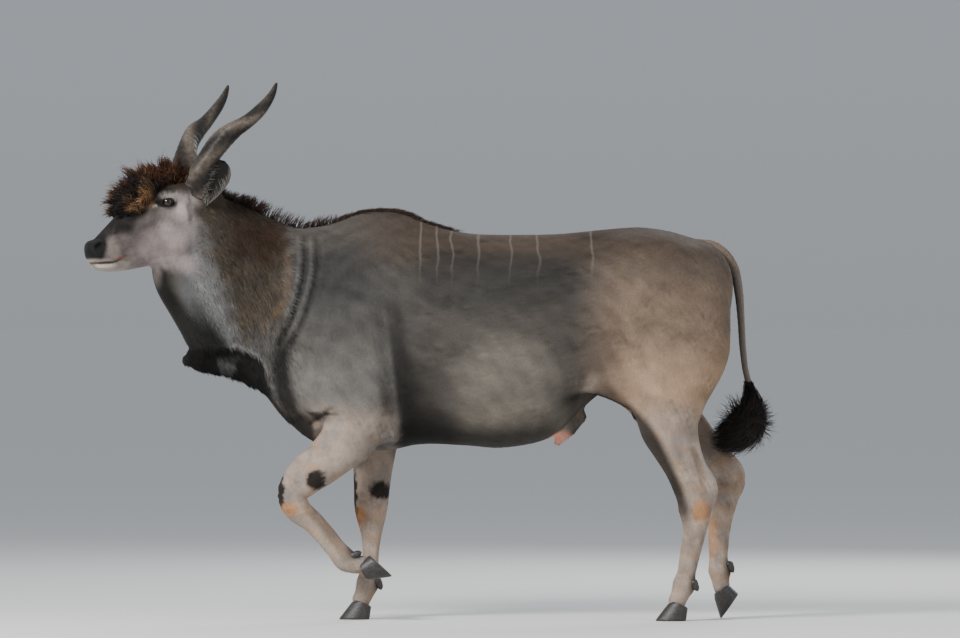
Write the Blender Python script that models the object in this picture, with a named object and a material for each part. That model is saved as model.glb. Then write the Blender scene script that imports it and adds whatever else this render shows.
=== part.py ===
"""Common eland bull (Taurotragus oryx), a life-size still model in mid-walk.

The animal walks towards -X with its left side at -Y, and the ground is Z = 0. The flesh is modelled whole
and straight, from tubes and swellings that a voxel remesh melts together. Thin plates then part it into
named pieces, and the horny pieces and the long hair are fitted to it. Every piece is built on the straight
animal and then bent to its left with the neck, before anything is cut.
"""
import math

import bmesh
import bpy
import numpy as np
from mathutils import Matrix, Vector

# Driving dimensions, in metres and degrees.
NECK_TURN = 33.0        # how far the head looks to the animal's left
BEND_START = -0.62      # X where the neck begins to bend
BEND_END = -0.88        # X where the bend ends and the head begins
GAP = 0.0005            # clearance between pieces that touch
VOXEL = 0.013
FLESH_TRIANGLES = 3300
CENTRE = (0.003, 0.047, 0)  # moves the whole, so that the origin is under the middle of its box
EYE_RADIUS = 0.023
EYE_PLACE = (-1.142, 0.083, 1.668)
HORN_LENGTH_TURNS = 1.15
EAR_LENGTH = 0.200
CLAW_LENGTH = 0.125
CLAW_HEIGHT = 0.095
TOE_SLOPE = 52.0

# Tube stations: x, z, half width, reach to the front or top, reach to the back or underside, y.
TRUNK = [
    (1.06, 1.30, 0.181, .210, .300, 0),
    (0.98, 1.27, 0.224, .270, .330, 0),
    (0.86, 1.24, 0.258, .310, .300, 0),
    (0.74, 1.20, 0.277, .338, .260, 0),
    (0.60, 1.17, 0.296, .360, .335, 0),
    (0.48, 1.14, 0.311, .385, .415, 0),
    (0.30, 1.13, 0.325, .400, .445, 0),
    (0.15, 1.13, 0.325, .400, .437, 0),
    (0.00, 1.13, 0.313, .415, .430, 0),
    (-.15, 1.12, 0.289, .450, .430, 0),
    (-.30, 1.12, 0.258, .440, .420, 0),
    (-.44, 1.12, 0.224, .410, .400, 0),
    (-.54, 1.14, 0.191, .360, .340, 0)]
SPINE = [
    (1.05, 1.38, .09, .135, .20, 0),
    (0.82, 1.38, .10, .188, .20, 0),
    (0.50, 1.37, .10, .165, .20, 0),
    (0.20, 1.37, .10, .160, .20, 0),
    (0.00, 1.41, .10, .175, .20, 0),
    (-.12, 1.45, .09, .188, .20, 0),
    (-.26, 1.455, .09, .185, .20, 0),
    (-.40, 1.41, .09, .175, .20, 0),
    (-.54, 1.34, .09, .190, .20, 0)]
BRISKET = [
    (-.20, .80, .120, .14, .120, 0),
    (-.36, .80, .120, .16, .115, 0),
    (-.47, .84, .105, .17, .105, 0),
    (-.555, .96, .085, .16, .085, 0),
    (-.60, 1.06, .070, .16, .070, 0)]
NECK = [
    (-.36, 1.18, .200, .38, .38, 0),
    (-.52, 1.25, .168, .32, .36, 0),
    (-.66, 1.32, .142, .285, .31, 0),
    (-.78, 1.41, .124, .250, .26, 0),
    (-.88, 1.50, .112, .212, .20, 0),
    (-.96, 1.58, .100, .165, .16, 0)]
THROAT = [
    (-1.08, 1.44, .070, .085, .12, 0),
    (-1.055, 1.36, .070, .095, .14, 0),
    (-.995, 1.26, .060, .092, .16, 0),
    (-.940, 1.17, .048, .090, .17, 0),
    (-.920, 1.10, .034, .080, .17, 0),
    (-.930, 1.05, .020, .060, .10, 0)]
DEWLAP = [
    (-.60, 1.04, .050, .10, .085, 0),
    (-.66, 1.03, .030, .10, .110, 0),
    (-.72, 1.05, .024, .12, .110, 0),
    (-.80, 1.06, .022, .12, .094, 0),
    (-.89, 1.07, .020, .10, .082, 0),
    (-.96, 1.05, .016, .05, .045, 0),
    (-1.00, 1.037, .012, .03, .024, 0)]
HEAD = [
    (-.947, 1.665, .080, .097, .120, 0),
    (-1.027, 1.655, .100, .128, .170, 0),
    (-1.127, 1.605, .093, .143, .180, 0),
    (-1.227, 1.555, .072, .115, .158, 0),
    (-1.317, 1.505, .056, .094, .122, 0),
    (-1.392, 1.473, .051, .070, .094, 0),
    (-1.446, 1.460, .048, .052, .066, 0)]
SHEATH = [
    (.600, .815, .030, .030, .030, 0),
    (.555, .757, .027, .027, .027, 0),
    (.508, .712, .016, .016, .016, 0)]
SCROTUM = [
    (.840, .960, .040, .050, .045, 0),
    (.842, .880, .046, .050, .046, 0),
    (.842, .830, .040, .040, .038, 0)]
FLANK = [
    (.58, 1.06, .05, .16, .16, .20),
    (.72, 1.02, .04, .14, .08, .20),
    (.86, .94, .04, .12, .06, .19)]
HIND_LEFT = [
    (.985, 1.10, .125, .220, .190, -.165),
    (.965, .980, .115, .190, .165, -.172),
    (.955, .880, .105, .140, .150, -.176),
    (.958, .784, .092, .130, .122, -.172),
    (.985, .700, .076, .108, .096, -.165),
    (1.020, .610, .060, .088, .085, -.157),
    (1.056, .520, .053, .086, .098, -.150),
    (1.058, .444, .046, .072, .072, -.145),
    (1.058, .390, .041, .058, .059, -.141),
    (1.053, .340, .037, .050, .050, -.138),
    (1.036, .256, .035, .045, .045, -.134),
    (1.024, .192, .036, .042, .042, -.131),
    (1.014, .145, .044, .051, .051, -.130),
    (.998, .105, .039, .046, .046, -.130),
    (.985, .075, .040, .046, .046, -.130)]
HIND_RIGHT = [
    (.985, 1.10, .125, .220, .190, .165),
    (.970, .980, .115, .200, .170, .172),
    (.955, .880, .105, .155, .160, .176),
    (.985, .790, .092, .140, .125, .172),
    (1.060, .710, .076, .105, .100, .165),
    (1.130, .635, .060, .082, .085, .157),
    (1.187, .565, .053, .084, .088, .150),
    (1.180, .490, .046, .072, .068, .145),
    (1.168, .420, .041, .057, .059, .141),
    (1.163, .360, .037, .049, .051, .138),
    (1.160, .290, .035, .045, .045, .134),
    (1.160, .235, .036, .043, .043, .131),
    (1.164, .192, .044, .050, .051, .130),
    (1.168, .152, .039, .045, .044, .130),
    (1.173, .122, .039, .042, .042, .130)]
FORE_RIGHT = [
    (-.330, .950, .085, .170, .170, .190),
    (-.270, .860, .088, .160, .130, .182),
    (-.235, .760, .080, .120, .110, .165),
    (-.228, .680, .068, .099, .096, .142),
    (-.230, .600, .056, .085, .083, .118),
    (-.234, .520, .052, .077, .075, .096),
    (-.236, .455, .052, .073, .071, .080),
    (-.236, .400, .046, .063, .061, .068),
    (-.236, .345, .040, .047, .047, .058),
    (-.238, .280, .036, .037, .038, .048),
    (-.242, .210, .036, .037, .039, .038),
    (-.250, .150, .045, .049, .051, .030),
    (-.264, .105, .039, .046, .046, .026),
    (-.278, .075, .040, .047, .047, .024)]
FORE_LEFT = [
    (-.340, .950, .085, .170, .170, -.190),
    (-.270, .850, .092, .170, .130, -.190),
    (-.300, .745, .082, .130, .110, -.186),
    (-.370, .675, .070, .105, .095, -.183),
    (-.430, .620, .060, .094, .085, -.181),
    (-.500, .565, .055, .089, .075, -.180),
    (-.545, .505, .053, .067, .061, -.180),
    (-.522, .448, .050, .061, .053, -.180),
    (-.470, .402, .043, .051, .047, -.180),
    (-.420, .345, .038, .046, .047, -.180),
    (-.375, .290, .037, .045, .046, -.180),
    (-.335, .246, .044, .052, .051, -.180),
    (-.300, .228, .041, .047, .048, -.180),
    (-.270, .225, .040, .046, .048, -.180)]
TAIL = [
    (1.070, 1.490, .034, .036, .036, 0),
    (1.130, 1.485, .031, .032, .032, 0),
    (1.180, 1.455, .026, .026, .026, 0),
    (1.220, 1.395, .020, .020, .020, 0),
    (1.238, 1.300, .017, .017, .017, 0),
    (1.246, 1.200, .014, .014, .014, 0),
    (1.252, 1.100, .013, .013, .013, 0),
    (1.262, 1.010, .012, .012, .012, 0),
    (1.278, .930, .012, .012, .012, 0),
    (1.272, .860, .011, .011, .011, 0)]
TUFT = [
    (1.305, .905, .026, .028, .030, 0),
    (1.318, .850, .046, .062, .048, 0),
    (1.290, .785, .062, .100, .076, .004),
    (1.235, .745, .068, .085, .090, .004),
    (1.170, .735, .055, .055, .075, .004),
    (1.130, .742, .028, .026, .035, .004)]
BRUSH = [
    (-1.000, 1.790, .050, .025, .040, 0),
    (-1.080, 1.775, .074, .043, .060, 0),
    (-1.165, 1.745, .080, .068, .075, 0),
    (-1.240, 1.700, .074, .092, .070, 0),
    (-1.300, 1.645, .054, .076, .050, 0),
    (-1.345, 1.590, .028, .030, .030, 0)]
MANE = [
    (-.34, 1.585, .014, .040, .03, 0),
    (-.45, 1.555, .016, .052, .03, 0),
    (-.56, 1.555, .018, .056, .03, 0),
    (-.66, 1.585, .020, .048, .03, 0),
    (-.75, 1.622, .020, .036, .03, 0),
    (-.82, 1.655, .016, .022, .03, 0)]

# Middle line of a horn, x, distance from the middle plane and z.
HORN_LINE = [
    (-1.012, .048, 1.700),
    (-.990, .066, 1.765),
    (-.955, .094, 1.850),
    (-.918, .122, 1.910),
    (-.872, .146, 1.955),
    (-.815, .166, 1.995),
    (-.762, .179, 2.045),
    (-.722, .185, 2.095),
    (-.697, .187, 2.146)]

# Swellings of muscle and bone, on both sides: place, radii, pitch in radians.
SWELLINGS = [
    ((.88, .13, 1.395), (.22, .12, .13), -.10),
    ((1.10, .085, 1.34), (.105, .09, .14), 0),
    ((.985, .165, 1.16), (.215, .115, .30), .10),
    ((-.27, .155, 1.20), (.16, .10, .30), -.28),
    ((-.36, .175, .97), (.17, .10, .16), .30),
    ((-.165, .175, .765), (.055, .05, .07), 0)]

# Colours (linear) and roughness of each material.
TAUPE = ((.130, .098, .074), .85)
PALE_HAIR = ((.300, .230, .180), .85)
BLACK_HAIR = ((.012, .010, .009), .80)
RED_BROWN = ((.060, .026, .014), .85)
HORN = ((.045, .038, .032), .45)
HOOF = ((.040, .038, .036), .45)
EYE = ((.010, .006, .004), .08)


def curve(rows, steps):
    """Catmull-Rom spline through rows of numbers, with `steps` points to each gap."""
    rows = np.array(rows, float)
    points = np.vstack([2 * rows[0] - rows[1], rows, 2 * rows[-1] - rows[-2]])
    out = []
    for i in range(1, len(points) - 2):
        a, b, c, d = points[i - 1:i + 3]
        for t in np.arange(steps) / steps:
            bend = 2 * a - 5 * b + 4 * c - d + t * (3 * (b - c) + d - a)
            out.append(b + t * (c - a + t * bend) / 2)
    out.append(rows[-1])
    return np.array(out)


def ring(centre, along, half, reach, ring_points):
    """One cross-section: `half` wide, and reaching up and down the tube's own side view by `reach`."""
    up = Vector((along.z, 0, -along.x))
    points = []
    for k in range(ring_points):
        angle = 2 * math.pi * k / ring_points
        side = reach[0] if math.sin(angle) > 0 else reach[1]
        points.append(centre + Vector((0, half * math.cos(angle), 0)) + up * (side * math.sin(angle)))
    return points


def tube(bm, rows, ring_points=20, steps=4, grow=0.0, caps=(.6, .6)):
    """Adds a closed tube through the stations, its ends rounded off."""
    line = curve(rows, steps)
    centres = [Vector((r[0], r[5], r[1])) for r in line]
    flat = [Vector((r[0], 0, r[1])) for r in line]
    alongs = []
    for i in range(len(line)):
        step = flat[min(i + 1, len(line) - 1)] - flat[max(i - 1, 0)]
        alongs.append(step.normalized())
    rings = []
    for end, order in ((0, (80, 50, 25)), (-1, (25, 50, 80))):
        row = line[end]
        depth = caps[end] * min(row[2], (row[3] + row[4]) / 2)
        way = -1 if end == 0 else 1
        cap = []
        for angle in order:
            shrink = math.cos(math.radians(angle))
            centre = centres[end] + alongs[end] * (way * (depth + grow) * math.sin(math.radians(angle)))
            sizes = [shrink * (v + grow) for v in (row[2], row[3], row[4])]
            cap.append(ring(centre, alongs[end], sizes[0], sizes[1:], ring_points))
        if end == 0:
            rings += cap
            rings += [ring(c, t, r[2] + grow, (r[3] + grow, r[4] + grow), ring_points)
                      for c, t, r in zip(centres, alongs, line)]
        else:
            rings += cap
    loft(bm, rings)


def volume(faces):
    """Signed volume inside a closed set of faces, positive when they face out."""
    total = 0
    for face in faces:
        first, *rest = [v.co for v in face.verts]
        total += sum(first.dot(a.cross(b)) for a, b in zip(rest, rest[1:])) / 6
    return total


def loft(bm, rings):
    """Joins rings of points with quads, closes both ends and faces the whole outwards."""
    loops = [[bm.verts.new(p) for p in points] for points in rings]
    count = len(loops[0])
    faces = []
    for a, b in zip(loops, loops[1:]):
        for k in range(count):
            j = (k + 1) % count
            faces.append(bm.faces.new((a[k], a[j], b[j], b[k])))
    faces.append(bm.faces.new(loops[0][::-1]))
    faces.append(bm.faces.new(loops[-1]))
    if volume(faces) < 0:
        bmesh.ops.reverse_faces(bm, faces=faces)


def swelling(bm, place, radii, pitch):
    """Adds one ellipsoid on each side of the body."""
    for side in (-1, 1):
        at = Matrix.Translation((place[0], side * place[1], place[2]))
        shape = at @ Matrix.Rotation(-pitch, 4, 'Y') @ Matrix.Diagonal((*radii, 1))
        bmesh.ops.create_uvsphere(bm, u_segments=24, v_segments=14, radius=1, matrix=shape)


def new_object(name, bm):
    """Turns a bmesh into a linked object."""
    mesh = bpy.data.meshes.new(name)
    bm.to_mesh(mesh)
    bm.free()
    made = bpy.data.objects.new(name, mesh)
    bpy.context.collection.objects.link(made)
    return made


def apply_modifiers(made):
    """Replaces an object's mesh by what its modifiers make of it."""
    bpy.context.view_layer.update()
    shaped = made.evaluated_get(bpy.context.evaluated_depsgraph_get())
    mesh = bpy.data.meshes.new_from_object(shaped)
    made.modifiers.clear()
    made.data = mesh


def boolean(made, other, operation):
    """Cuts or intersects one object with another."""
    step = made.modifiers.new('boolean', 'BOOLEAN')
    step.operation = operation
    step.object = other
    step.solver = 'EXACT'
    apply_modifiers(made)


def remove(made):
    """Takes a helper object out of the scene."""
    bpy.data.objects.remove(made)


def triangulate(made):
    """Splits every face into triangles."""
    bm = bmesh.new()
    bm.from_mesh(made.data)
    bmesh.ops.triangulate(bm, faces=bm.faces)
    bm.to_mesh(made.data)
    bm.free()


def bend(point, rigid):
    """Where a point of the straight animal lies once the neck is turned. The head's pieces turn as one."""
    radius = (BEND_START - BEND_END) / math.radians(NECK_TURN)
    if point.x > BEND_START and not rigid:
        return point
    turned = math.radians(NECK_TURN)
    ahead = BEND_END - point.x
    if not rigid:
        turned = min((BEND_START - point.x) / radius, turned)
        ahead = max(ahead, 0)
    x = BEND_START - radius * math.sin(turned) - ahead * math.cos(turned)
    y = -radius * (1 - math.cos(turned)) - ahead * math.sin(turned)
    return Vector((x - point.y * math.sin(turned), y + point.y * math.cos(turned), point.z))


def turn(made, rigid):
    """Bends a straight piece with the neck, or turns a piece of the head as one."""
    for vert in made.data.vertices:
        vert.co = bend(vert.co, rigid)


def make_flesh():
    """The whole straight body without tail, ears, horns and hooves, melted into one surface."""
    bm = bmesh.new()
    for rows in (TRUNK, SPINE, BRISKET, NECK, THROAT, DEWLAP, HEAD, SHEATH, SCROTUM,
                 HIND_LEFT, HIND_RIGHT, FORE_RIGHT, FORE_LEFT):
        tube(bm, rows)
    for side in (-1, 1):
        tube(bm, [row[:5] + (side * row[5],) for row in FLANK])
    for place, radii, pitch in SWELLINGS:
        swelling(bm, place, radii, pitch)
    flesh = new_object('flesh', bm)
    remesh = flesh.modifiers.new('remesh', 'REMESH')
    remesh.mode = 'VOXEL'
    remesh.voxel_size = VOXEL
    smooth = flesh.modifiers.new('smooth', 'SMOOTH')
    smooth.factor = 0.5
    smooth.iterations = 9
    apply_modifiers(flesh)
    triangulate(flesh)
    thin = flesh.modifiers.new('thin', 'DECIMATE')
    thin.ratio = FLESH_TRIANGLES / len(flesh.data.polygons)
    apply_modifiers(flesh)
    turn(flesh, False)
    return flesh


def grown_copy(made, clearance=GAP):
    """The same surface moved outwards by a clearance, to cut what is fitted to it."""
    copy = bpy.data.objects.new('grown', made.data.copy())
    bpy.context.collection.objects.link(copy)
    swell = copy.modifiers.new('swell', 'DISPLACE')
    swell.strength = clearance
    swell.mid_level = 0
    apply_modifiers(copy)
    return copy


# Plates that part the flesh: top and bottom edge in the straight animal's side view as (x, z), the range
# of y, and whether the plate turns with the head.
PLATES = [
    ((-.455, 1.70), (-.675, .80), (-.38, .38), False),
    ((-.885, 1.90), (-1.065, 1.42), (-.40, .40), True),
    ((-1.020, 1.457), (-1.260, 1.370), (-.30, .30), True),
    ((-1.19, 1.387), (-.540, .972), (-.30, .30), False),
    ((-.50, .672), (.02, .672), (.02, .40), False),
    ((-.46, .830), (-.27, .560), (-.40, -.085), False),
    ((.70, .865), (1.30, .865), (.060, .45), False),
    ((.70, .865), (1.30, .865), (-.45, -.060), False)]

# A point inside each piece of flesh, in the same side view, names the piece that lies nearest.
FLESH_PARTS = {
    'trunk': (.3, 0, 1.15), 'neck': (-.78, 0, 1.38), 'head': (-1.15, 0, 1.60), 'dewlap': (-.90, 0, 1.10),
    'foreleg_right': (-.236, .06, .40), 'foreleg_left': (-.45, -.18, .50),
    'hindleg_right': (1.12, .15, .50), 'hindleg_left': (1.02, -.15, .50)}


def plate(top, bottom, span, with_head):
    """A thin flat plate through two points of the side view, square to the upright plane they lie in."""
    bm = bmesh.new()
    a = bend(Vector((top[0], 0, top[1])), with_head)
    b = bend(Vector((bottom[0], 0, bottom[1])), with_head)
    along = (b - a).normalized()
    across = Vector((-along.y, along.x, 0)).normalized()
    if across.y < 0:
        across.negate()
    normal = along.cross(across) * (GAP / 2)
    corners = [bm.verts.new(point + across * y + normal * way)
               for point in (a, b) for y in span for way in (-1, 1)]
    bmesh.ops.convex_hull(bm, input=corners)
    return new_object('plate', bm)


def part_flesh(flesh):
    """Cuts the flesh with every plate and names the pieces."""
    for top, bottom, span, with_head in PLATES:
        cutter = plate(top, bottom, span, with_head)
        boolean(flesh, cutter, 'DIFFERENCE')
        remove(cutter)
    bm = bmesh.new()
    bm.from_mesh(flesh.data)
    bm.verts.ensure_lookup_table()
    islands = []
    left = set(bm.verts)
    while left:
        stack = [left.pop()]
        found = set(stack)
        while stack:
            for edge in stack.pop().link_edges:
                for vert in edge.verts:
                    if vert not in found:
                        found.add(vert)
                        stack.append(vert)
        left -= found
        islands.append(found)
    pieces = {}
    for name, at in FLESH_PARTS.items():
        target = bend(Vector(at), name == 'head')
        nearest = min(islands, key=lambda verts: min((v.co - target).length for v in verts))
        pieces[name] = nearest
    made = {}
    for name, verts in pieces.items():
        order = list(verts)
        place = {v: i for i, v in enumerate(order)}
        faces = [[place[v] for v in face.verts] for face in bm.faces if face.verts[0] in verts]
        mesh = bpy.data.meshes.new(name)
        mesh.from_pydata([v.co for v in order], [], faces)
        made[name] = bpy.data.objects.new(name, mesh)
        bpy.context.collection.objects.link(made[name])
        triangulate(made[name])
    bm.free()
    return made


def ball(name, place, radius):
    """A sphere of three-sided faces."""
    bm = bmesh.new()
    bmesh.ops.create_icosphere(bm, subdivisions=2, radius=radius, matrix=Matrix.Translation(place))
    made = new_object(name, bm)
    turn(made, True)
    return made


def horn(name, side):
    """A straight-rising horn, swept back, with a keel that winds round its lower two thirds."""
    bm = bmesh.new()
    line = curve(HORN_LINE, 3)
    rings = []
    for i, (x, y, z) in enumerate(line):
        t = i / (len(line) - 1)
        radius = .046 * min(1, 1.12 * (1 - t)) ** .75 + .004
        twist = 2 * math.pi * HORN_LENGTH_TURNS * min(t / .8, 1) + 2.2
        keel = .28 * (1 - t) ** .6
        ahead = Vector(line[min(i + 1, len(line) - 1)]) - Vector(line[max(i - 1, 0)])
        ahead.normalize()
        right = ahead.cross(Vector((0, 1, 0))).normalized()
        fore = right.cross(ahead)
        points = []
        for k in range(12):
            angle = 2 * math.pi * k / 12
            peak = max(0, math.cos(angle - twist)) ** 3 + .5 * max(0, math.cos(angle - twist - math.pi)) ** 3
            r = radius * (.88 + keel * peak)
            points.append(Vector((x, y, z)) + right * (r * math.cos(angle)) + fore * (r * math.sin(angle)))
        rings.append([Vector((p.x, p.y * side, p.z)) for p in points])
    loft(bm, rings)
    made = new_object(name, bm)
    turn(made, True)
    return made


def ear(name, side):
    """A leaf-shaped ear, cupped, its opening turned forwards and outwards."""
    bm = bmesh.new()
    base = Vector((-.985, .092, 1.675))
    axis = Vector((.34, .36, .87)).normalized()
    facing = Vector((-.62, .78, .0))
    facing = (facing - axis * facing.dot(axis)).normalized()
    across = axis.cross(facing)
    rows = 6
    columns = 5
    grid = []
    for i in range(rows + 1):
        u = i / rows
        half = .018 + .036 * math.sin(math.pi * min(1, u * .92 + .04)) ** .8
        half *= 1 - max(0, (u - .72) / .28) ** 2 * .85
        line = []
        for j in range(columns + 1):
            v = 2 * j / columns - 1
            cup = .022 * (1 - v * v) * (1 - .5 * u)
            point = base + axis * (EAR_LENGTH * u - .02) + across * (half * v) - facing * cup
            line.append(bm.verts.new((point.x, point.y * side, point.z)))
        grid.append(line)
    for a, b in zip(grid, grid[1:]):
        for j in range(columns):
            bm.faces.new((a[j], a[j + 1], b[j + 1], b[j]))
    made = new_object(name, bm)
    thick = made.modifiers.new('thick', 'SOLIDIFY')
    thick.thickness = .009
    thick.offset = 0
    apply_modifiers(made)
    bm = bmesh.new()
    bm.from_mesh(made.data)
    bmesh.ops.recalc_face_normals(bm, faces=bm.faces)
    bm.to_mesh(made.data)
    bm.free()
    turn(made, True)
    return made


def claw(name, frame, side):
    """One half of a cloven hoof. The frame puts the toe of the flat sole towards its own -X."""
    bm = bmesh.new()
    rings = []
    slope = math.tan(math.radians(TOE_SLOPE))
    for z in (0, .006, .045, CLAW_HEIGHT):
        toe = -.62 * CLAW_LENGTH + z / slope
        heel = .38 * CLAW_LENGTH + .10 * z
        wide = .047 - .08 * z
        if z == 0:
            toe += .003
            heel -= .003
            wide -= .003
        points = []
        for k in range(12):
            angle = 2 * math.pi * k / 12
            along = (1 - math.cos(angle)) / 2
            x = toe + (heel - toe) * along
            bulge = abs(math.sin(angle)) ** .8 * (.82 + .3 * along)
            y = .005 + (wide * bulge if math.sin(angle) > 0 else .004 * math.sin(angle) ** 2)
            points.append(frame @ Vector((x, side * y, z)))
        rings.append(points)
    loft(bm, rings)
    geometry = bm.verts[:] + bm.edges[:] + bm.faces[:]
    cut = bmesh.ops.bisect_plane(bm, geom=geometry, plane_co=(0, 0, 0), plane_no=(0, 0, -1), clear_outer=True)
    rim = [e for e in cut['geom_cut'] if isinstance(e, bmesh.types.BMEdge)]
    if rim:
        bmesh.ops.holes_fill(bm, edges=bm.edges, sides=0)
    return new_object(name, bm)


def dewclaw(name, frame, side):
    """A small horny knob behind the fetlock."""
    bm = bmesh.new()
    at = frame @ Matrix.Translation((.0, side * .024, .0)) @ Matrix.Rotation(.5, 4, 'Y')
    bmesh.ops.create_cone(bm, segments=10, radius1=.016, radius2=.009, depth=.05, cap_ends=True, matrix=at)
    return new_object(name, bm)


def hair_body(name, rows, ring_points=12, grow=0.0):
    """A closed form of long hair."""
    bm = bmesh.new()
    tube(bm, rows, ring_points=ring_points, steps=2, grow=grow)
    return new_object(name, bm)


def finish(made, colour):
    """Triangles, place, material and smooth shading."""
    triangulate(made)
    made.data.transform(Matrix.Translation(CENTRE))
    material = bpy.data.materials.new(made.name)
    material.use_nodes = True
    shader = material.node_tree.nodes['Principled BSDF']
    shader.inputs['Base Color'].default_value = (*colour[0], 1)
    shader.inputs['Roughness'].default_value = colour[1]
    shader.inputs['Metallic'].default_value = 0
    made.data.materials.clear()
    made.data.materials.append(material)
    made.data.shade_smooth()
    made.data.set_sharp_from_angle(angle=math.radians(40))


# Each foot: toe frame for the claws (x, y, z, tilt of the sole in degrees) and place of the dewclaws.
FEET = {
    'fore_right': ((-.290, .024, 0, 0), (-.195, .030, .140, 10)),
    'fore_left': ((-.205, -.180, .232, -137), (-.292, -.180, .276, -80)),
    'hind_left': ((.975, -.130, 0, 0), (1.068, -.130, .140, 10)),
    'hind_right': ((1.2125, .130, .0605, -55), (1.218, .130, .205, 10))}


def make_feet(flesh_grown):
    """Two claws and two dewclaws to each foot, fitted under the pastern."""
    for foot, (sole, back) in FEET.items():
        frame = Matrix.Translation(sole[:3]) @ Matrix.Rotation(math.radians(sole[3]), 4, 'Y')
        knob = Matrix.Translation(back[:3]) @ Matrix.Rotation(math.radians(back[3]), 4, 'Y')
        for side in (-1, 1):
            which = 'left' if side < 0 else 'right'
            horny = [claw('claw_%s_%s' % (foot, which), frame, side),
                     dewclaw('dewclaw_%s_%s' % (foot, which), knob, side)]
            for made in horny:
                boolean(made, flesh_grown, 'DIFFERENCE')
                finish(made, HOOF)


def main():
    for old in list(bpy.data.objects):
        bpy.data.objects.remove(old)
    flesh = make_flesh()
    flesh_grown = grown_copy(flesh)

    for name, side in (('left', -1), ('right', 1)):
        place = (EYE_PLACE[0], side * EYE_PLACE[1], EYE_PLACE[2])
        socket = ball('socket', place, EYE_RADIUS + GAP)
        boolean(flesh, socket, 'DIFFERENCE')
        remove(socket)
        finish(ball('eye_' + name, place, EYE_RADIUS), EYE)

    for name, made in part_flesh(flesh).items():
        finish(made, TAUPE)
    remove(flesh)

    brush = hair_body('forehead_brush', BRUSH)
    turn(brush, True)
    boolean(brush, flesh_grown, 'DIFFERENCE')
    for name, side in (('left', -1), ('right', 1)):
        made = horn('horn_' + name, side)
        horn_room = grown_copy(made, 3 * GAP)
        boolean(brush, horn_room, 'DIFFERENCE')
        boolean(made, flesh_grown, 'DIFFERENCE')
        finish(made, HORN)
        made = ear('ear_' + name, side)
        boolean(made, flesh_grown, 'DIFFERENCE')
        boolean(made, horn_room, 'DIFFERENCE')
        remove(horn_room)
        finish(made, TAUPE)
    finish(brush, RED_BROWN)

    make_feet(flesh_grown)

    mane = hair_body('mane', MANE, 8)
    turn(mane, False)
    boolean(mane, flesh_grown, 'DIFFERENCE')
    finish(mane, BLACK_HAIR)

    tail = hair_body('tail', TAIL, 8)
    boolean(tail, flesh_grown, 'DIFFERENCE')
    finish(tail, PALE_HAIR)
    tuft = hair_body('tail_tuft', TUFT)
    tail_room = hair_body('tail_room', TAIL, 8, GAP)
    boolean(tuft, tail_room, 'DIFFERENCE')
    remove(tail_room)
    boolean(tuft, flesh_grown, 'DIFFERENCE')
    finish(tuft, BLACK_HAIR)
    remove(flesh_grown)


main()
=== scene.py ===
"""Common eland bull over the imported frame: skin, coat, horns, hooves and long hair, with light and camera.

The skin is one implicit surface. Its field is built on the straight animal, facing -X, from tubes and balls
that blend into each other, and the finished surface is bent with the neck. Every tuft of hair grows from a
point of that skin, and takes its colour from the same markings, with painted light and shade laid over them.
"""
import math

import bpy
import numpy as np
import openvdb
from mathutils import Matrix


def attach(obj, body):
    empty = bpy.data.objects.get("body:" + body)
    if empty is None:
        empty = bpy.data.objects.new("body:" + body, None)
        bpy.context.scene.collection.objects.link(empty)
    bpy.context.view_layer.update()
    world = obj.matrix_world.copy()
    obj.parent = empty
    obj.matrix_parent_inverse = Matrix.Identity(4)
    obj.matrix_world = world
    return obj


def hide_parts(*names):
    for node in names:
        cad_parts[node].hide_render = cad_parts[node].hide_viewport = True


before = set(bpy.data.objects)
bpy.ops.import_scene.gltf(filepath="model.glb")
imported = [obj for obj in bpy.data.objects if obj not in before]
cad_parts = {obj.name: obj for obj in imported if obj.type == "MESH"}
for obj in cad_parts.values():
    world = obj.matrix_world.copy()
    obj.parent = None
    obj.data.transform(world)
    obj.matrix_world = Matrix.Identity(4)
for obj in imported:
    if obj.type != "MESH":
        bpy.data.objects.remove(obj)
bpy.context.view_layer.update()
rng = np.random.default_rng(11)

# Driving dimensions, in metres and degrees. The neck bends between two places of x, and CENTRE moves the
# finished animal to the middle of the frame.
NECK_TURN = 33.0
BEND_START, BEND_END = -.62, -.88
CENTRE = np.array((.003, .047, 0.0))
EYE_RADIUS = .023
EYE_PLACE = (-1.142, .083, 1.668)
HORN_TURNS = 1.15
EAR_LENGTH = .2
CLAW_LENGTH = .125
CORONET = .078
TOE_SLOPE = 52.0
COAT_DEPTH = .004

FLESH = ('trunk', 'neck', 'head', 'dewlap', 'foreleg_left', 'foreleg_right', 'hindleg_left', 'hindleg_right')

# The skin: distance the field starts from, triangles, and how far each round of settling moves the points of
# head and legs, and how much further those of the barrel.
FAR = .25
SKIN_TRIANGLES = 190000
SETTLE_ROUNDS = 14
SETTLE, SETTLE_BARREL = .08, .42

# Hair: a lock's depth over its width, the side of its patch of the bake map, how far the lights of its two
# edges turn apart, how unevenly the tufts lie and face, and how deep their roots are set.
LOCK_DEPTH = .35
PATCH = .003
EDGE_TURN = .4
LIE_SPREAD, FACING_SPREAD = .14, .12
ROOT_DEPTH = .0015


def metres(*rows):
    """Stations given in millimetres, with a y of 0 where none is given."""
    return [tuple(value / 1000 for value in row) + (0,) * (6 - len(row)) for row in rows]


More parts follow.
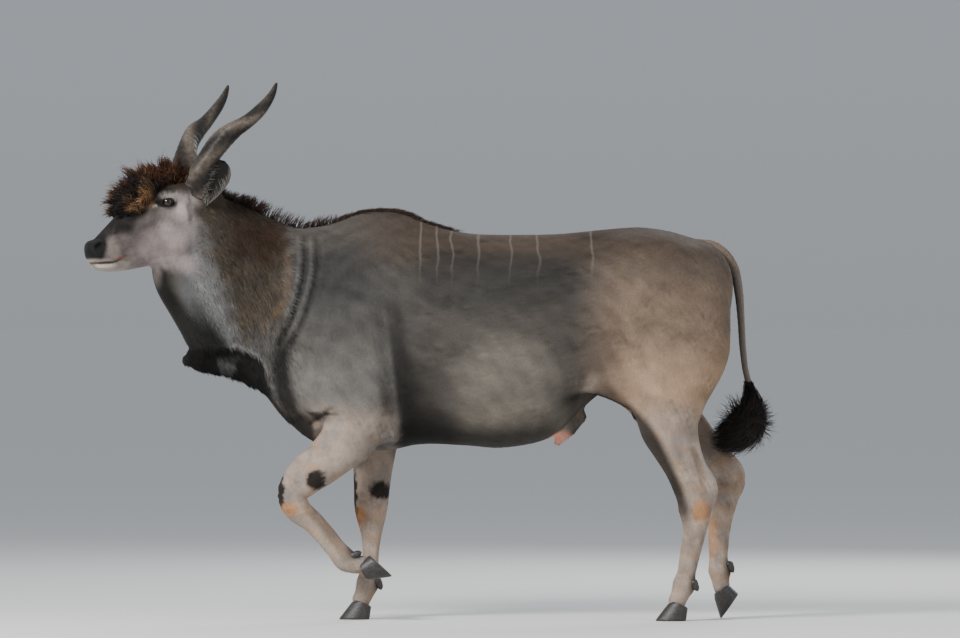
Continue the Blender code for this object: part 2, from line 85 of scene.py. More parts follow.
# Tube stations: x, z, half width, reach to the front or top, reach to the back or underside, y. The horn's
# line has x, y and z.
TRUNK = metres(
    (1060, 1300, 181, 210, 300), (980, 1270, 224, 270, 330), (860, 1240, 258, 310, 300),
    (740, 1200, 277, 338, 260), (600, 1170, 296, 360, 335), (480, 1140, 311, 385, 415),
    (300, 1130, 325, 400, 445), (150, 1130, 325, 400, 437), (0, 1130, 313, 415, 430),
    (-150, 1120, 289, 450, 430), (-300, 1120, 258, 440, 420), (-440, 1120, 224, 410, 400),
    (-540, 1140, 191, 360, 340))
SPINE = metres(
    (1050, 1380, 90, 135, 200), (820, 1380, 100, 188, 200), (500, 1370, 100, 165, 200),
    (200, 1370, 100, 160, 200), (0, 1410, 100, 175, 200), (-120, 1450, 90, 188, 200),
    (-260, 1455, 90, 185, 200), (-400, 1410, 90, 175, 200), (-540, 1340, 90, 190, 200))
BRISKET = metres(
    (-200, 800, 120, 140, 120), (-360, 800, 120, 160, 115), (-470, 840, 105, 170, 105),
    (-555, 960, 85, 160, 85), (-600, 1060, 70, 160, 70))
NECK = metres(
    (-360, 1180, 200, 380, 380), (-520, 1250, 168, 320, 360), (-660, 1320, 142, 285, 310),
    (-780, 1410, 124, 250, 260), (-880, 1500, 112, 212, 200), (-960, 1580, 100, 165, 160))
THROAT = metres(
    (-1080, 1440, 70, 85, 120), (-1055, 1360, 70, 95, 140), (-995, 1260, 60, 92, 160),
    (-940, 1170, 48, 90, 170), (-920, 1100, 34, 80, 170), (-930, 1050, 20, 60, 100))
DEWLAP = metres(
    (-600, 1040, 50, 100, 85), (-660, 1030, 30, 100, 110), (-720, 1050, 24, 120, 110),
    (-800, 1060, 22, 120, 94), (-890, 1070, 20, 100, 82), (-960, 1050, 16, 50, 45),
    (-1000, 1037, 12, 30, 24))
HEAD = metres(
    (-947, 1665, 80, 97, 120), (-1027, 1655, 100, 128, 170), (-1127, 1605, 93, 143, 180),
    (-1227, 1555, 72, 115, 158), (-1317, 1505, 56, 94, 122), (-1388, 1473, 51, 70, 90),
    (-1432, 1462, 48, 54, 54))
SHEATH = metres(
    (600, 815, 30, 30, 30), (555, 757, 27, 27, 27), (508, 712, 16, 16, 16))
SCROTUM = metres(
    (840, 960, 40, 50, 45), (842, 880, 46, 50, 46), (842, 830, 40, 40, 38))
FLANK = metres(
    (580, 1060, 50, 160, 160, 200), (720, 1020, 40, 140, 80, 200), (860, 940, 40, 120, 60, 190))
HIND_LEFT = metres(
    (985, 1100, 125, 220, 190, -165), (965, 980, 115, 190, 165, -172), (955, 880, 105, 140, 150, -176),
    (958, 784, 92, 130, 122, -172), (985, 700, 76, 108, 96, -165), (1020, 610, 60, 88, 85, -157),
    (1056, 520, 53, 86, 98, -150), (1058, 444, 46, 72, 72, -145), (1058, 390, 41, 58, 59, -141),
    (1053, 340, 37, 50, 50, -138), (1036, 256, 35, 45, 45, -134), (1024, 192, 36, 42, 42, -131),
    (1014, 145, 44, 51, 51, -130), (998, 105, 37, 42, 42, -130), (985, 75, 37, 40, 40, -130))
HIND_RIGHT = metres(
    (985, 1100, 125, 220, 190, 165), (970, 980, 115, 200, 170, 172), (955, 880, 105, 155, 160, 176),
    (985, 790, 92, 140, 125, 172), (1060, 710, 76, 105, 100, 165), (1130, 635, 60, 82, 85, 157),
    (1187, 565, 53, 84, 88, 150), (1180, 490, 46, 72, 68, 145), (1168, 420, 41, 57, 59, 141),
    (1163, 360, 37, 49, 51, 138), (1160, 290, 35, 45, 45, 134), (1160, 235, 36, 43, 43, 131),
    (1164, 192, 44, 50, 51, 130), (1168, 152, 37, 41, 41, 130), (1173, 122, 36, 38, 38, 130))
FORE_RIGHT = metres(
    (-330, 950, 85, 170, 170, 190), (-270, 860, 88, 160, 130, 182), (-235, 760, 80, 120, 110, 165),
    (-228, 680, 68, 99, 96, 142), (-230, 600, 56, 85, 83, 118), (-234, 520, 52, 77, 75, 96),
    (-236, 455, 52, 73, 71, 80), (-236, 400, 46, 63, 61, 68), (-236, 345, 40, 47, 47, 58),
    (-238, 280, 36, 37, 38, 48), (-242, 210, 36, 37, 39, 38), (-250, 150, 45, 49, 51, 30),
    (-264, 105, 37, 42, 42, 26), (-278, 75, 37, 40, 40, 24))
FORE_LEFT = metres(
    (-340, 950, 85, 170, 170, -190), (-270, 850, 92, 170, 130, -190), (-300, 745, 82, 130, 110, -186),
    (-370, 675, 70, 105, 95, -183), (-430, 620, 60, 94, 85, -181), (-500, 565, 55, 89, 75, -180),
    (-545, 505, 53, 67, 61, -180), (-522, 448, 50, 61, 53, -180), (-470, 402, 43, 51, 47, -180),
    (-420, 345, 38, 46, 47, -180), (-375, 290, 37, 45, 46, -180), (-335, 246, 44, 52, 51, -180),
    (-300, 228, 39, 43, 44, -180), (-270, 225, 37, 40, 42, -180))
TAIL = metres(
    (1070, 1490, 34, 36, 36), (1130, 1485, 31, 32, 32), (1180, 1455, 26, 26, 26), (1220, 1395, 20, 20, 20),
    (1238, 1300, 17, 17, 17), (1246, 1200, 14, 14, 14), (1252, 1100, 13, 13, 13), (1262, 1010, 12, 12, 12),
    (1278, 930, 12, 12, 12), (1272, 860, 11, 11, 11))
TUFT = metres(
    (1305, 905, 26, 28, 30), (1318, 850, 46, 62, 48), (1290, 785, 62, 100, 76, 4),
    (1235, 745, 68, 85, 90, 4), (1170, 735, 55, 55, 75, 4), (1130, 742, 28, 26, 35, 4))
HORN_LINE = np.array([
    (-1012, 48, 1700), (-990, 66, 1765), (-955, 94, 1850), (-918, 122, 1910), (-872, 146, 1955),
    (-815, 166, 1995), (-762, 179, 2045), (-722, 185, 2095), (-697, 187, 2146)]) / 1000
TUFT_MIDDLE = np.array((1.262, .004, .79))
LEGS = HIND_LEFT, HIND_RIGHT, FORE_RIGHT, FORE_LEFT
MOUTH = [(-1.476, 1.424, .03, .0028, .0028, 0), (-1.45, 1.424, .018, .0032, .0032, .034),
         (-1.405, 1.426, .016, .0034, .0034, .051), (-1.356, 1.43, .014, .0034, .0034, .06),
         (-1.312, 1.45, .01, .0024, .0024, .062)]

# Balls on both sides: place, radii, blend, pitch, yaw and whether the ball is cut away.
BODY_FORMS = (
    ((.88, .13, 1.395), (.22, .12, .13), .09, -.1),
    ((1.1, .085, 1.34), (.105, .09, .14), .07),
    ((.985, .165, 1.16), (.215, .115, .3), .09, .1),
    ((-.27, .155, 1.2), (.16, .1, .3), .09, -.28),
    ((-.36, .175, .97), (.17, .1, .16), .09, .3))
ELBOW = (-.165, .175, .765), (.055, .05, .07), .05
HEAD_FORMS = (
    ((-1.105, .07, 1.7), (.062, .026, .022), .03, .2),
    ((-1.195, .064, 1.61), (.08, .02, .02), .03, .45),
    ((-1.075, .066, 1.56), (.085, .04, .085), .04),
    (EYE_PLACE, (.04, EYE_RADIUS + .011, .031), .014),
    (np.array(EYE_PLACE) + (-.001, .03, -.001), (.029, .031, .0135), .003, .1, 0, True),
    ((-1.425, .034, 1.488), (.03, .024, .03), .02),
    ((-1.436, .052, 1.486), (.02, .016, .011), .006, .7, -.5, True),
    ((-1.386, .03, 1.448), (.06, .032, .02), .02, -.15),
    ((-1.38, .02, 1.41), (.052, .03, .019), .016))

# Folds of the side view: line, height, width and the side they are on, or 0 for both.
RIM = [(-.895, 1.088), (-.8, 1.09), (-.769, 1.075), (-.7, 1.048), (-.667, 1.004), (-.645, .925)]
FOLD_LINE = [(-.52, 1.54), (-.522, 1.38), (-.566, 1.22), (-.63, 1.08)]
NECK_FOLDS = ((0, .014), (.024, -.012), (.048, .013), (.074, -.01))
FOLDS = (
    ([(-.19, 1.3), (-.165, 1.1), (-.145, .9), (-.135, .74)], -.016, .03),
    ([(-.24, 1.3), (-.225, 1.1), (-.205, .9), (-.195, .76)], .01, .035),
    ([(-.4, 1.42), (-.36, 1.25), (-.34, 1.1)], -.007, .03),
    ([(-.485, .77), (-.43, .815), (-.39, .85)], -.008, .011),
    ([(-.47, .8), (-.415, .85), (-.37, .87)], .005, .014),
    (RIM, .011, .009, -1),
    ([(-.94, 1.045), (-.86, 1.035), (-.77, 1.01), (-.7, .97)], -.012, .026, -1),
    ([(1.032, .712), (1.065, .63), (1.085, .552)], -.009, .012, -1),
    ([(1.145, .6), (1.165, .52)], -.007, .012, 1),
    ([(.7, 1.34), (.76, 1.22), (.8, 1.08)], -.012, .035),
    ([(1.06, .42), (1.052, .33), (1.036, .24)], -.0035, .007),
    ([(1.168, .4), (1.163, .33), (1.162, .26)], -.0035, .007),
    ([(-.232, .34), (-.234, .28), (-.24, .21)], -.0035, .007),
    ([(-.445, .37), (-.4, .315), (-.355, .262)], -.0035, .007))


# ---- curves and the bend of the neck

def curve(rows, steps):
    """Catmull-Rom spline through rows of numbers, with `steps` points to each gap."""
    rows = np.array(rows, float)
    points = np.vstack([2 * rows[0] - rows[1], rows, 2 * rows[-1] - rows[-2]])
    out = []
    for i in range(1, len(points) - 2):
        a, b, c, d = points[i - 1:i + 3]
        for t in np.arange(steps) / steps:
            bow = 2 * a - 5 * b + 4 * c - d + t * (3 * (b - c) + d - a)
            out.append(b + t * (c - a + t * bow) / 2)
    return np.array(out + [rows[-1]])


def bend(points, rigid=False):
    """Where points of the straight animal lie once the neck is turned. The head's own pieces turn as one."""
    x, y, z = np.moveaxis(np.asarray(points, float), -1, 0)
    full = math.radians(NECK_TURN)
    radius = (BEND_START - BEND_END) / full
    turned = np.full(x.shape, full) if rigid else np.clip((BEND_START - x) / radius, 0, full)
    ahead = BEND_END - x if rigid else np.maximum(BEND_END - x, 0)
    behind = np.zeros(x.shape) if rigid else np.maximum(x - BEND_START, 0)
    new_x = BEND_START + behind - radius * np.sin(turned) - ahead * np.cos(turned) - y * np.sin(turned)
    new_y = y * np.cos(turned) - radius * (1 - np.cos(turned)) - ahead * np.sin(turned)
    return np.stack([new_x, new_y, z], -1) + CENTRE


def bend_directions(points, directions, rigid=False):
    """The same for directions at those points."""
    step = 1e-3
    return unit((bend(points + step * directions, rigid) - bend(points, rigid)) / step)


def unit(vectors):
    """Vectors of length one."""
    return vectors / np.maximum(np.linalg.norm(vectors, axis=-1, keepdims=True), 1e-9)


def fade(value, low, high):
    """0 below `low`, 1 above `high`, with an even slope between; runs down where high is less than low."""
    t = np.clip((value - low) / (high - low), 0, 1)
    return t * t * (3 - 2 * t)


def spin(a, b, angle):
    """Two coordinates turned in their plane."""
    return math.cos(angle) * a + math.sin(angle) * b, math.cos(angle) * b - math.sin(angle) * a


def angles(count):
    """Evenly spaced angles of a whole turn."""
    return np.linspace(0, 2 * math.pi, count, endpoint=False)


def along(steps):
    """Shares of the way from root to tip, as a column that fits paths."""
    return np.linspace(0, 1, steps)[None, :, None]


# ---- clay: an implicit surface on a grid

class Clay:
    """A field of rough distances, negative inside, on a grid with uneven steps."""

    def __init__(self, *axes):
        self.axes = [np.asarray(a, np.float32) for a in axes]
        self.field = np.full([len(a) for a in self.axes], FAR, np.float32)

    def block(self, low, high):
        """The part of the grid inside a box, as slices and as coordinates."""
        cut = []
        for axis, a, b in zip(self.axes, low, high):
            first = max(0, int(np.searchsorted(axis, a)) - 1)
            last = min(len(axis), int(np.searchsorted(axis, b)) + 1)
            cut.append(slice(first, max(last, first + 1)))
        x, y, z = (axis[c] for axis, c in zip(self.axes, cut))
        return tuple(cut), x[:, None, None], y[None, :, None], z[None, None, :]

    def beside(self, line, reach, low_y, high_y):
        """The block around a line of the side view, its y, and its points in that view."""
        low, high = line[:, :2].min(0) - reach, line[:, :2].max(0) + reach
        where, x, y, z = self.block((low[0], low_y, low[1]), (high[0], high_y, high[1]))
        return where, y, *np.broadcast_arrays(x[:, 0, :], z[:, 0, :])

    def melt(self, where, distance, blend, cut):
        """Adds a form to the field, or cuts it away, with a rounded join."""
        old = self.field[where]
        way = -1 if cut else 1
        share = np.clip(.5 + .5 * (way * old - distance) / blend, 0, 1)
        joined = distance * share + way * old * (1 - share) - blend * share * (1 - share)
        self.field[where] = way * joined

    def ball(self, at, radii, blend, pitch=0, yaw=0, cut=False):
        """An ellipsoid on both sides. Pitch raises its rear end, yaw swings it to +Y."""
        at, radii = np.array(at, float), np.array(radii, float)
        reach = radii.max() + blend + .01
        low, high = at - reach, at + reach
        high[1] = abs(at[1]) + reach
        low[1] = -high[1]
        where, x, y, z = self.block(low, high)
        x, y, z = x - at[0], np.abs(y) - at[1], z - at[2]
        x, y = spin(x, y, yaw)
        x, z = spin(x, z, pitch)
        self.melt(where, rough_distance((x, y, z), radii), blend, cut)

    def tube(self, rows, blend, paired=False, cut=False, caps=(None, None), straight=False):
        """A form through the stations. A straight one runs along X, and each slice square to X is an oval."""
        line = curve(rows, 6)
        low_y = (line[:, 5] - line[:, 2]).min() - blend - .01
        high_y = (line[:, 5] + line[:, 2]).max() + blend + .01
        if paired:
            low_y, high_y = -max(-low_y, high_y), max(-low_y, high_y)
        where, y, side_x, side_z = self.beside(line, line[:, 3:5].max() + blend + .01, low_y, high_y)
        if paired:
            y = np.abs(y)
        count = np.arange(len(line))
        if straight:
            station = np.interp(-side_x, -line[:, 0], count)
            offset = side_z - np.interp(station, count, line[:, 1])
            beyond = np.minimum(line[0, 0] - side_x, 0) + np.maximum(line[-1, 0] - side_x, 0)
        else:
            station, offset, beyond = nearest_station(line[:, :2], side_x, side_z)
        half, up, down, middle = (np.interp(station, count, line[:, k])[:, None, :] for k in (2, 3, 4, 5))
        offset = offset[:, None, :]
        height = np.where(offset > 0, up, down)
        ends = [cap or max(line[end, 2], line[end, 3]) for end, cap in zip((0, -1), caps)]
        depth = np.where(beyond < 0, ends[0], ends[1])[:, None, :]
        distance = rough_distance((y - middle, offset, beyond[:, None, :]), (half, height, depth))
        self.melt(where, distance, blend, cut)

    def fold(self, points, height, width, side=0):
        """Raises or, with a height below zero, sinks the surface along a line of the side view."""
        line = curve(points, 8)
        where, _, side_x, side_z = self.beside(line, 3 * width, -.45 * (side <= 0), .45 * (side >= 0))
        station, offset, beyond = nearest_station(line, side_x, side_z)
        share = np.clip(station / (len(line) - 1), 0, 1)
        ends = np.sqrt(4 * share * (1 - share))
        shape = height * ends * np.exp(-(offset ** 2 + beyond ** 2) / width ** 2)
        self.field[where] -= shape[:, None, :].astype(np.float32)

    def surface(self, level):
        """The surface at one level of the field, as points and four-sided faces."""
        grid = openvdb.FloatGrid()
        grid.copyFromArray(self.field)
        points, quads = grid.convertToQuads(isovalue=level)
        places = [np.interp(points[:, i], np.arange(len(axis)), axis) for i, axis in enumerate(self.axes)]
        return np.stack(places, 1), quads


def nearest_station(line, side_x, side_z):
    """For points of the side view: station along the line, signed offset from it, reach past its ends."""
    best = np.full(side_x.shape, 1e9, np.float32)
    found = [np.zeros(side_x.shape, np.float32) for _ in range(3)]
    for i in range(len(line) - 1):
        ahead = line[i + 1] - line[i]
        length = np.hypot(*ahead)
        dx, dz = side_x - line[i, 0], side_z - line[i, 1]
        raw = (dx * ahead[0] + dz * ahead[1]) / length ** 2
        share = np.clip(raw, 0, 1)
        gap_x, gap_z = dx - share * ahead[0], dz - share * ahead[1]
        gap = gap_x * gap_x + gap_z * gap_z
        nearer = gap < best
        best[nearer] = gap[nearer]
        offset = (gap_x * ahead[1] - gap_z * ahead[0]) / length
        for kept, value in zip(found, (i + share, offset, (raw - share) * length)):
            kept[nearer] = value[nearer]
    return found


def rough_distance(gaps, radii):
    """About the distance to the oval where the squares of the gaps over the radii add up to one."""
    parts = [np.abs(gap / r) for gap, r in zip(gaps, radii)]
    size = np.sqrt(np.maximum(sum(part ** 2 for part in parts), 1e-9))
    slope = np.sqrt(sum((np.maximum(part, 1e-6) / r) ** 2 for part, r in zip(parts, radii))) / size
    return ((size - 1) / np.maximum(slope, 1e-6)).astype(np.float32)


def uneven(*stretches):
    """Grid coordinates from (start, end, step) stretches that follow each other."""
    return np.concatenate([np.arange(*stretch) for stretch in stretches])


# ---- the animal in clay

def shape_animal(clay):
    """Trunk with its muscles, neck and dewlap, legs, head, and the folds of the skin."""
    clay.tube(TRUNK, .05, caps=(.13, .13), straight=True)
    clay.tube(SPINE, .07, straight=True)
    for form in BODY_FORMS:
        clay.ball(*form)
    clay.tube(BRISKET, .05)
    clay.tube(FLANK, .05, paired=True)
    for rows, blend in ((SHEATH, .03), (SCROTUM, .02), (NECK, .07), (THROAT, .045), (DEWLAP, .03)):
        clay.tube(rows, blend)
    for rows in LEGS:
        clay.tube(rows, .05, caps=(.1, .03))
    clay.ball(*ELBOW)
    clay.tube(HEAD, .035, caps=(.09, .035))
    for form in HEAD_FORMS:
        clay.ball(*form)
    clay.tube(MOUTH, .005, paired=True, cut=True, caps=(.004, .004))
    for start, height in NECK_FOLDS:
        clay.fold([(x + start, z) for x, z in FOLD_LINE], height, .013)
    for fold in FOLDS:
        clay.fold(*fold)


def thin_out(points, faces, target):
    """Fewer triangles where the surface is flat."""
    mesh = bpy.data.meshes.new('thin')
    mesh.from_pydata(points, [], faces.tolist())
    made = bpy.data.objects.new('thin', mesh)
    bpy.context.collection.objects.link(made)
    step = made.modifiers.new('thin', 'DECIMATE')
    step.ratio = min(1, target / (2 * len(faces)))
    step.use_collapse_triangulate = True
    shaped = made.evaluated_get(bpy.context.evaluated_depsgraph_get()).to_mesh()
    kept, _, triangles = read_mesh(shaped)
    bpy.data.objects.remove(made)
    return kept, triangles


def settle(points, faces, rounds, amount):
    """Moves points towards the middle of their neighbours, each by its own amount, round after round."""
    sides = np.concatenate([faces[:, (0, 1)], faces[:, (1, 2)], faces[:, (2, 0)]])
    ends = np.unique(np.sort(sides, 1), axis=0)
    first, second = np.concatenate([ends, ends[:, ::-1]]).T
    number = np.bincount(first, minlength=len(points))[:, None]
    for _ in range(rounds):
        sums = [np.bincount(first, points[second, k], len(points)) for k in range(3)]
        points = points + (np.stack(sums, 1) / number - points) * amount[:, None]
    return points


def make_skin_points():
    """The skin's points on the straight animal, and its faces."""
    head_step, leg_step, body_step = ((.003, .006, .009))
    xs = uneven((-1.5, -.93, head_step), (-.93, -.6, leg_step), (-.6, 1.35, body_step))
    half = uneven((0, .11, head_step), (.11, .4, body_step))
    zs = uneven((.03, .66, leg_step), (.66, 1.36, body_step), (1.36, 1.84, head_step))
    clay = Clay(xs, np.concatenate([-half[:0:-1], half]), zs)
    shape_animal(clay)
    points, faces = thin_out(*clay.surface(-COAT_DEPTH), SKIN_TRIANGLES)
    x, _, z = points.T
    barrel = fade(x, -.34, -.2) * fade(z, .84, .95)
    amount = SETTLE + SETTLE_BARREL * barrel * (1 - fade(x, 1.0, 1.08))
    return settle(points, faces, SETTLE_ROUNDS, amount), faces


# ---- pieces

def mesh_piece(name, points, faces, material):
    """A smooth-shaded piece from points and faces of one size, riding on the animal."""
    mesh = bpy.data.meshes.new(name)
    faces = np.asarray(faces, np.int32)
    mesh.vertices.add(len(points))
    mesh.vertices.foreach_set('co', np.asarray(points, np.float32).ravel())
    mesh.loops.add(faces.size)
    mesh.loops.foreach_set('vertex_index', faces.ravel())
    mesh.polygons.add(len(faces))
    mesh.polygons.foreach_set('loop_start', np.arange(0, faces.size, faces.shape[1], dtype=np.int32))
    mesh.update(calc_edges=True)
    mesh.shade_smooth()
    mesh.materials.append(material)
    piece = bpy.data.objects.new(name, mesh)
    bpy.context.collection.objects.link(piece)
    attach(piece, 'root')
    return piece


def give_attribute(piece, name, values):
    """Stores one colour or one number for each point."""
    kind, field = ('FLOAT_COLOR', 'color') if values.ndim == 2 else ('FLOAT', 'value')
    layer = piece.data.attributes.new(name, kind, 'POINT')
    if values.ndim == 2:
        values = np.column_stack([values, np.ones(len(values))])
    layer.data.foreach_set(field, values.astype(np.float32).ravel())


def colour_short(piece, colours):
    """Gives a piece of short hair or skin its colours, and the reach of hair near its root."""
    give_attribute(piece, 'coat', colours)
    give_attribute(piece, 'reach', np.full(len(colours), .3))


def read_rows(items, field, kind=np.float32):
    """Three numbers for each item of a mesh."""
    values = np.empty(len(items) * 3, kind)
    items.foreach_get(field, values)
    return values.reshape(-1, 3)


def read_mesh(mesh):
    """Points, normals and triangles of a mesh."""
    mesh.calc_loop_triangles()
    points, normals = (read_rows(mesh.vertices, field).astype(float) for field in ('co', 'normal'))
    return points, normals, read_rows(mesh.loop_triangles, 'vertices', np.int32)


# ---- hair

def lock_mesh(paths, sides, widths):
    """Closed three-sided locks: paths (n, k, 3) ending in a point, sideways vectors, widths (n, k - 1)."""
    count, steps = paths.shape[:2]
    ahead = unit(np.gradient(paths, axis=1))
    sides = unit(sides - ahead * np.sum(sides * ahead, -1, keepdims=True))
    ups = np.cross(ahead, sides)
    rings = []
    for k in range(steps - 1):
        half, middle = widths[:, k, None] / 2, paths[:, k]
        aside, above = sides[:, k] * half, ups[:, k] * half * 2 * LOCK_DEPTH
        rings.append(np.stack([middle - aside, middle + aside, middle + above], 1))
    points = np.concatenate(rings + [paths[:, -1:]], 1)
    faces = [(0, 2, 1)]
    for low in range(0, 3 * (steps - 2), 3):
        for a, b in ((0, 1), (1, 2), (2, 0)):
            faces += [(low + a, low + b, low + 3 + b), (low + a, low + 3 + b, low + 3 + a)]
    last = 3 * (steps - 2)
    faces += [(last + a, last + (a + 1) % 3, last + 3) for a in range(3)]
    each = points.shape[1]
    whole = np.array(faces)[None] + np.arange(count)[:, None, None] * each
    return points.reshape(-1, 3), whole.reshape(-1, 3), each


def hair_piece(name, paths, sides, widths, colours, root_maps, material, facing=None, tips=None):
    """Many locks as one piece, each in its root's colour or turning to its tip's, with its patch of the map.

    Flat locks take the skin's own directions in facing, so that light falls on them as on a coat."""
    points, faces, each = lock_mesh(paths, sides, widths)
    piece = mesh_piece(name, points, faces, material)
    count, steps = paths.shape[:2]
    ring_of = np.append(np.repeat(np.arange(steps - 1), 3), steps - 1) / (steps - 1)
    tips = colours if tips is None else tips
    shaded = colours[:, None] + ring_of[:, None] * (tips - colours)[:, None]
    give_attribute(piece, 'coat', shaded.reshape(-1, 3))
    give_attribute(piece, 'reach', np.tile(ring_of, count))
    corner_of = np.append(np.tile((0, 1, .5), steps - 1), .5)
    within = np.tile(np.stack([corner_of, ring_of], 1), (count, 1))
    spots = np.repeat(root_maps, each, axis=0) + PATCH * within
    layer = piece.data.uv_layers.new(name='OFBake')
    layer.data.foreach_set('uv', spots[faces.ravel()].astype(np.float32).ravel())
    if facing is not None:
        lean = np.array((-EDGE_TURN, EDGE_TURN, 0))[None, None, :, None] * unit(sides[:, :-1, None])
        rings = unit(facing[:, None, None] + lean).reshape(count, -1, 3)
        normals = np.concatenate([rings, facing[:, None]], 1).reshape(-1, 3)
        piece.data.normals_split_custom_set_from_vertices(normals.astype(np.float32))
    return piece


def loose_locks(name, node, paths, narrow, wide, taper, shade, maps, material):
    """A piece of long locks that face every way: their widths, their taper and what gives their colours."""
    count, steps = paths.shape[:2]
    sides = rng.normal(size=(count, 1, 3)).repeat(steps, 1)
    widths = rng.uniform(narrow, wide, (count, 1)) * np.array(taper)
    piece = hair_piece(name, paths, sides, widths, shade(), maps, material)
    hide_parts(node)


class Skin:
    """The skin's triangles, to grow hair from: places on the straight animal, real places and normals."""

    def __init__(self, piece, straight):
        self.straight = straight
        self.real, self.normals, self.triangles = read_mesh(piece.data)
        a, b, c = (self.real[self.triangles[:, k]] for k in range(3))
        self.areas = np.linalg.norm(np.cross(b - a, c - a), axis=1) / 2
        self.middles = straight[self.triangles].mean(axis=1)

    def roots(self, count, density):
        """Random points, spread by area times a density of the straight place."""
        weights = self.areas * density(self.middles)
        corner = self.triangles[rng.choice(len(weights), count, p=weights / weights.sum())]
        share = rng.random((count, 2))
        over = share.sum(1) > 1
        share[over] = 1 - share[over]
        shares = np.column_stack([1 - share.sum(1), share])[:, :, None]
        real, straight, normals = ((values[corner] * shares).sum(1)
                                   for values in (self.real, self.straight, self.normals))
        return real, straight, unit(normals)


def down_the_leg(places):
    """For each place the direction of the nearest leg at its height."""
    x, y, z = places.T
    best = np.full(len(x), 9.0)
    way = np.zeros((len(x), 3))
    for rows in LEGS:
        line = curve(rows, 3)
        for row, ahead in zip(line, np.gradient(line, axis=0)):
            gap = (x - row[0]) ** 2 + (y - row[5]) ** 2 + (z - row[1]) ** 2
            nearer = gap < best
            best[nearer] = gap[nearer]
            way[nearer] = (ahead[0], ahead[5], ahead[1])
    return unit(way)


def lie_of(places):
    """The way the coat lies, as directions on the straight animal: back along the body, down the legs."""
    x, y, z = places.T
    none = 0 * x
    way = np.stack([none + 1, none, -.35 - .5 * fade(z, 1.5, .9)], 1)
    neck = np.stack([none + .55, none, none - .85], 1), fade(x, -.5, -.64)
    leg = down_the_leg(places), fade(z, .88, .7)
    head = np.stack([none + .9, .25 * np.sign(y), none + .35], 1), fade(x, -.95, -1.04) * fade(z, 1.36, 1.44)
    for other, share in (neck, leg, head):
        way = way * (1 - share[:, None]) + other * share[:, None]
    return unit(way)


def unwrap(places):
    """The skin's own unwrap: along the body and round it, with the legs beside it, each along and round."""
    x, y, z = places.T
    middle = np.interp(x, (-1.4, -.9, -.5, 1.1), (1.5, 1.4, 1.15, 1.2))
    v = .25 + .45 * (np.arctan2(y, z - middle) / (2 * math.pi) + .5)
    legs = z < .8
    index = (x > .3) * 2 + (y > 0)
    turn = np.arctan2(y - .16 * np.sign(y), x - np.where(x > .3, 1.05, -.3)) / (2 * math.pi) + .5
    u = np.where(legs, .02 + .24 * index + .2 * turn, (x + 1.5) / 2.8)
    return np.clip(np.stack([u, np.where(legs, .01 + .27 * z, v)], 1), 0, .996)


def fill_map(spots):
    """Spreads a piece's patches over the whole map."""
    low, high = spots.min(0), spots.max(0)
    return (spots - low) / (high - low) * (1 - 2 * PATCH) + PATCH / 2


def coat_piece(name, skin, count, density, long, wide, lift, material, slot='body_hair', steps=2, vary=.1,
               lie=lie_of, colour=None):
    """Tufts of the short coat: their length and width, how they rise and how much their tones vary."""
    real, straight, normals = skin.roots(count, density)
    way = bend_directions(straight, lie(straight) + LIE_SPREAD * rng.normal(size=(count, 3)))
    way = unit(way - normals * np.sum(way * normals, -1, keepdims=True))
    shorter = np.interp(straight[:, 0], (-1.08, -.9, -.66, -.6, -.54), (.35, .75, 1, .75, 1))
    length = (long * rng.uniform(.7, 1.3, count) * shorter)[:, None]
    rise = (lift * rng.uniform(.4, 1.6, count))[:, None, None]
    t = along(steps)
    path = real[:, None] + way[:, None] * (t * length[:, None])
    path = path + normals[:, None] * (rise * length[:, None] * t ** .8 - ROOT_DEPTH)
    sides = np.repeat(np.cross(normals, way)[:, None], steps, axis=1)
    widths = wide * rng.uniform(.7, 1.3, (count, 1)) * np.linspace(1, .75, steps)[None, :-1]
    ends = straight + unit(lie(straight)) * length
    tones = [coat_colour(at, normals) if colour is None else colour(at) for at in (straight, ends)]
    colours, tips = tones * (1 + vary * rng.normal(size=(count, 1))).clip(.3, 1.9)
    facing = unit(normals + FACING_SPREAD * rng.normal(size=(count, 3)))
    maps = fill_map(unwrap(straight))
    return hair_piece(name, path, sides, widths, colours, maps, material, facing, tips)


# ---- markings

TAUPE = (.05, .044, .038)
OCHRE = (.046, .03, .02)
TAN_BROWN = (.15, .105, .074)
PALE = (.26, .205, .165)
GREY = (.052, .05, .047)
DARK = (.005, .0045, .004)
BROWN = (.022, .013, .008)
WHITE = (.62, .57, .5)
ORANGE_TAN = (.36, .16, .055)
PINK = (.56, .26, .19)
THIGH = (.27, .18, .118)
EAR_PINK = (.15, .11, .095)
NECK_BROWN = (.033, .026, .019)
THROAT_GREY = (.112, .11, .108)
CHEEK = (.225, .185, .175)
NOSE = (.008, .008, .008)
STRIPES = (-.04, .028, .088, .192, .32, .432, .648)
STRIPE_SWAY = .05
STRIPE_TONE = .075
STRIPE_END = 1.31

# Lines of the side view: tone, amount, points and width. Those of the legs are on the near side.
BODY_LINES = (
    (PALE, .3, [(.665, 1.0), (.622, .9), (.59, .76)], .034),
    # Painted shade along the underside of the belly, up to the flank fold.
    (DARK, .9, [(.2, .668), (.36, .675), (.48, .702), (.6, .75), (.7, .86)], .024),
    # Painted shade in the crease at the top of the foreleg.
    (DARK, .4, [(-.48, .775), (-.43, .815), (-.395, .85)], .012))
LEG_LINES = (
    # Painted shade along the front edge of the near hind leg.
    (DARK, .88, [(.67, .94), (.84, .77), (.91, .655), (.975, .51), (1.01, .36)], .055),
    (WHITE, .3, [(1.06, .72), (1.115, .6), (1.15, .5)], .026),
    ((.13, .09, .065), .55, [(1.045, .7), (1.075, .6), (1.095, .5)], .018),
    # Painted shade along the cannon of the lifted near foreleg.
    ((.11, .076, .052), .7, [(-.5, .47), (-.43, .4), (-.37, .32), (-.32, .24)], .034))
